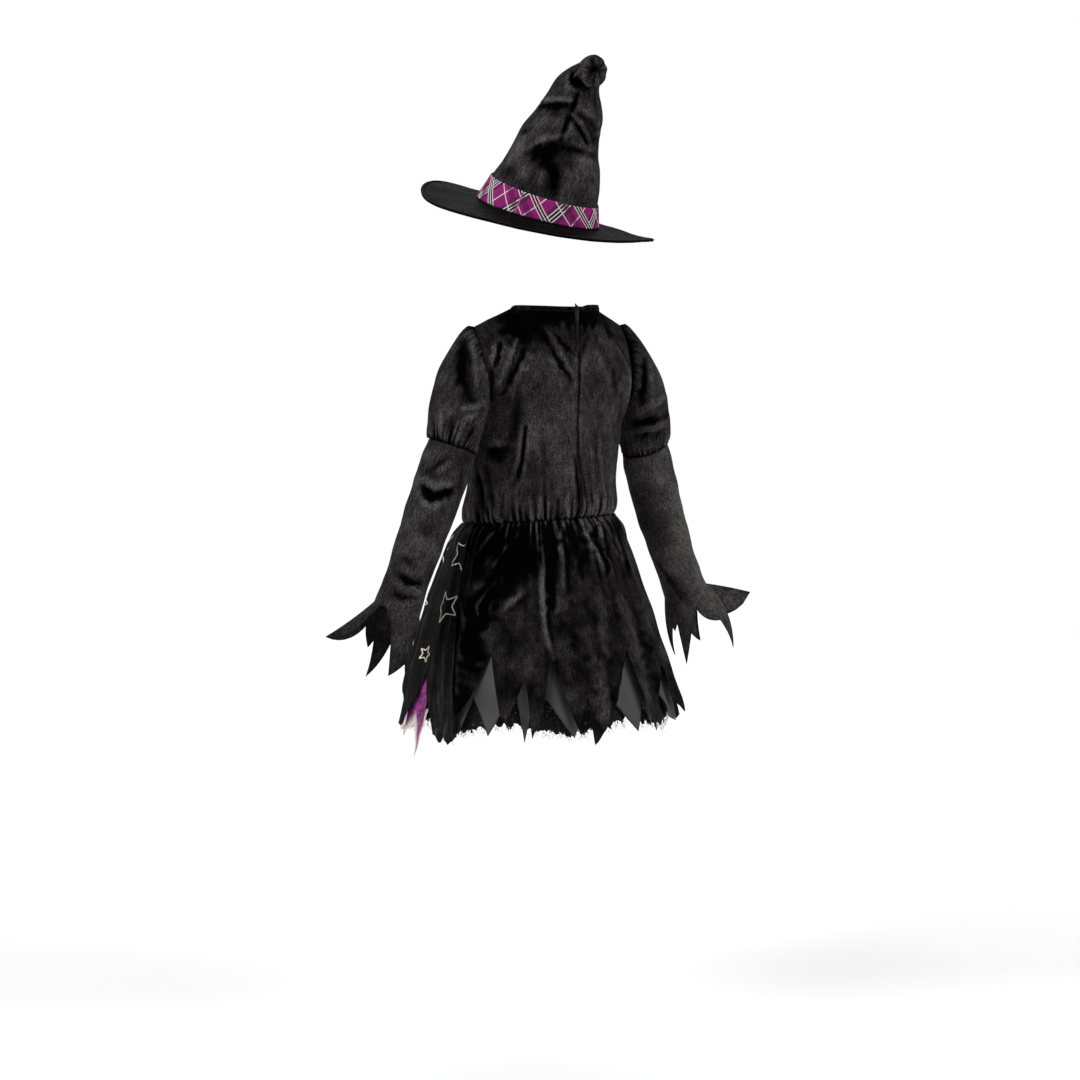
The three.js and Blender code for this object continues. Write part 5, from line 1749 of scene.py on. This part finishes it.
def stars():
    """Every star's outline, in one mesh, without what would lie past the overlay's edge."""
    points, faces = [], []
    for place in star_places():
        rings, inside = star_outline(*place)
        base, count = sum(len(p) for p in points), rings.shape[1]
        points.append(rings.reshape(-1, 3))
        for k in range(3):
            for i in range(count):
                n = (i + 1) % count
                if min(inside[k, i], inside[k, n], inside[k + 1, i], inside[k + 1, n]) > 0.4:
                    faces.append([base + k * count + i, base + k * count + n, base + (k + 1) * count + n,
                                  base + (k + 1) * count + i])
    return joined("star_outlines", np.concatenate(points), faces)


# Threads and stitches

def joined(name, points, faces):
    """A mesh from points in millimetres, cleaned of unused points, with its faces turned outwards."""
    made = bmesh.new()
    corners = [made.verts.new(p) for p in (np.asarray(points) * MM).tolist()]
    for face in faces:
        made.faces.new([corners[i] for i in face])
    bmesh.ops.delete(made, geom=[v for v in made.verts if not v.link_faces], context="VERTS")
    bmesh.ops.recalc_face_normals(made, faces=made.faces[:])
    mesh = bpy.data.meshes.new(name)
    made.to_mesh(mesh)
    made.free()
    piece = bpy.data.objects.new(name, mesh)
    bpy.context.scene.collection.objects.link(piece)
    return piece


def strands(name, paths, radius, taper):
    """Thin three-sided threads, joined in one mesh: paths holds a row of points for each."""
    count, steps = paths.shape[:2]
    along = unit(np.gradient(paths, axis=1))
    side = unit(np.cross(along, (0.31, 0.52, 0.79)))
    over = np.cross(along, side)
    spin = np.arange(3)[:, None] * 120 * DEG
    ring = side[:, :, None] * np.cos(spin) + over[:, :, None] * np.sin(spin)
    points = paths[:, :, None] + ring * (radius * np.array(taper))[None, :, None, None]
    index = np.arange(count * steps * 3).reshape(count, steps, 3)
    ahead = np.roll(index, -1, 2)
    walls = np.stack([index[:, :-1], ahead[:, :-1], ahead[:, 1:], index[:, 1:]], -1).reshape(-1, 4)
    ends = np.concatenate([index[:, 0], index[:, -1]])
    return joined(name, points.reshape(-1, 3), walls.tolist() + ends.tolist())


def stitches(name, lines, length=2.6, apart=4.0, radius=0.28):
    """Short thread stitches along lines on the cloth."""
    paths = []
    for line in lines:
        run = np.append(0, np.cumsum(np.linalg.norm(np.diff(line, axis=0), axis=1)))
        starts = np.arange(apart / 2, run[-1] - length, apart)
        at = starts[:, None] + np.array([0, 0.5, 1]) * length
        paths.append(np.stack([np.interp(at, run, line[:, i]) for i in range(3)], -1))
    return strands(name, np.concatenate(paths), radius, (0.35, 1, 0.35))


def frayed(name, edge, count, length, radius, seed, spread=0.7):
    """Loose threads that hang from a torn edge, bent this way and that."""
    chance = np.random.default_rng(seed)
    at = chance.integers(0, len(edge), count)
    root = edge[at] + chance.uniform(-0.6, 0.6, (count, 3))
    out = unit(skirt_outward(edge[at]))
    beside = np.stack([-out[:, 1], out[:, 0], 0 * out[:, 0]], 1)
    sway = chance.normal(0, spread, (count, 1))
    bend = chance.normal(0, spread, (count, 1))
    flare = chance.normal(0.15, 0.4, (count, 1))
    reach = length * chance.uniform(0.35, 1.3, (count, 1))
    t = np.linspace(-0.12, 1, 5)[None, :, None]
    way = beside[:, None] * (sway[:, None] * t + bend[:, None] * t**2) + out[:, None] * flare[:, None] * t
    paths = root[:, None] + (way + np.array([0, 0, -1.0]) * t) * reach[:, None] * 0.8
    return strands(name, paths, radius, (1, 1, 0.9, 0.7, 0.25))


# Assembly

def finished(piece, material, slot, *nodes, cut=None, held="hung", sewn=()):
    """Gives a piece its finish and lets it stand for its solids. How its cloth was cut, in metres, is not
    used.
    """
    piece.data.materials.append(material)
    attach(piece, "root")
    if nodes:
        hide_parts(*nodes)
    return piece


studio().data.materials.append(pale_floor())
dress_velvet = velvet("dress_velvet", 14.0)
hat_velvet = velvet("hat_velvet", 26.0)
net_black, net_star, net_glitter = black_net(), star_net(), glitter_net()
thread = sewing_thread()

front, front_points = bodice_front()
back_points = {}
for name, cuff in (("left", CUFF_LEFT), ("right", CUFF_RIGHT)):
    back, back_points[name] = bodice_back(name)
    finished(back, dress_velvet, "velvet", f"bodice_back_{name}", cut=(0.22, 0.31, 0.051))
    finished(sleeve_puff(name), dress_velvet, "velvet", f"sleeve_puff_{name}", cut=(0.3, 0.2, 0.042),
             held="gathered")
    finished(sleeve_lower(name, cuff), dress_velvet, "velvet", f"sleeve_lower_{name}",
             cut=(0.24, 0.37, 0.068))
finished(placket(back_points["left"]), dress_velvet, "velvet", cut=(0.01, 0.062, None))
# The neck is stitched along the fourth row from its top, between the shoulder seams
backs = [points[-4, 52:] for points in back_points.values()]
neck_stitches = stitches("neck_stitches", [*backs, front_points[-4, 40:119]])
finished(neck_stitches, thread, "velvet")
finished(front, dress_velvet, "velvet", "bodice_front", cut=(0.4, 0.31, 0.095), sewn=[neck_stitches])

skirt, skirt_edge = velvet_skirt()
threads = finished(frayed("skirt_threads", skirt_edge, 110, 4, 0.16, 17), thread, "velvet")
finished(skirt, dress_velvet, "velvet", "skirt_velvet", cut=(0.6, 0.31, 0.14), held="gathered",
         sewn=[threads])
overlay, overlay_edge = star_overlay()
threads = finished(frayed("overlay_threads", overlay_edge, 160, 6, 0.18, 16), thread, "star_net")
printed = finished(stars(), foil(), "star_net")
finished(overlay, net_star, "star_net", "skirt_star_overlay", cut=(0.72, 0.32, 0.172), held="gathered",
         sewn=[threads, printed])
glitter, glitter_edge = glitter_front()
threads = finished(frayed("glitter_threads", glitter_edge, 170, 9, 0.22, 18), pale_thread(), "glitter_net")
finished(glitter, net_glitter, "glitter_net", "skirt_glitter_net", cut=(0.62, 0.34, 0.17), held="gathered",
         sewn=[threads])
lining, _ = satin_underskirt()
finished(lining, satin(), "satin", "underskirt_satin", cut=(1.2, 0.3, 0.285), held="gathered")
petticoat, petticoat_edge = net_petticoat()
threads = finished(frayed("petticoat_threads", petticoat_edge, 620, 9, 0.22, 15), thread, "black_net")
pale_ends = frayed("pale_threads", petticoat_edge[166:232], 26, 11, 0.2, 19, 1.1)
finished(pale_ends, pale_thread(), "black_net")
finished(petticoat, net_black, "black_net", "petticoat_net", cut=(1.25, 0.3, 0.305), held="gathered",
         sewn=[threads, pale_ends])

finished(hat_crown(), hat_velvet, "hat_velvet", "hat_crown", cut=(0.54, 0.3, 0.09))
finished(hat_band(), plaid(), "plaid_band", "hat_band", cut=(0.55, 0.034, None))
brim, brim_points = hat_brim()
rings = [np.vstack([brim_points[row], brim_points[row, :1]]) for row in (-5, -11)]
rim_stitches = stitches("brim_stitches", rings)
finished(rim_stitches, thread, "hat_velvet")
finished(brim, hat_velvet, "hat_velvet", "hat_brim", cut=(0.342, 0.342, 0.072), sewn=[rim_stitches])
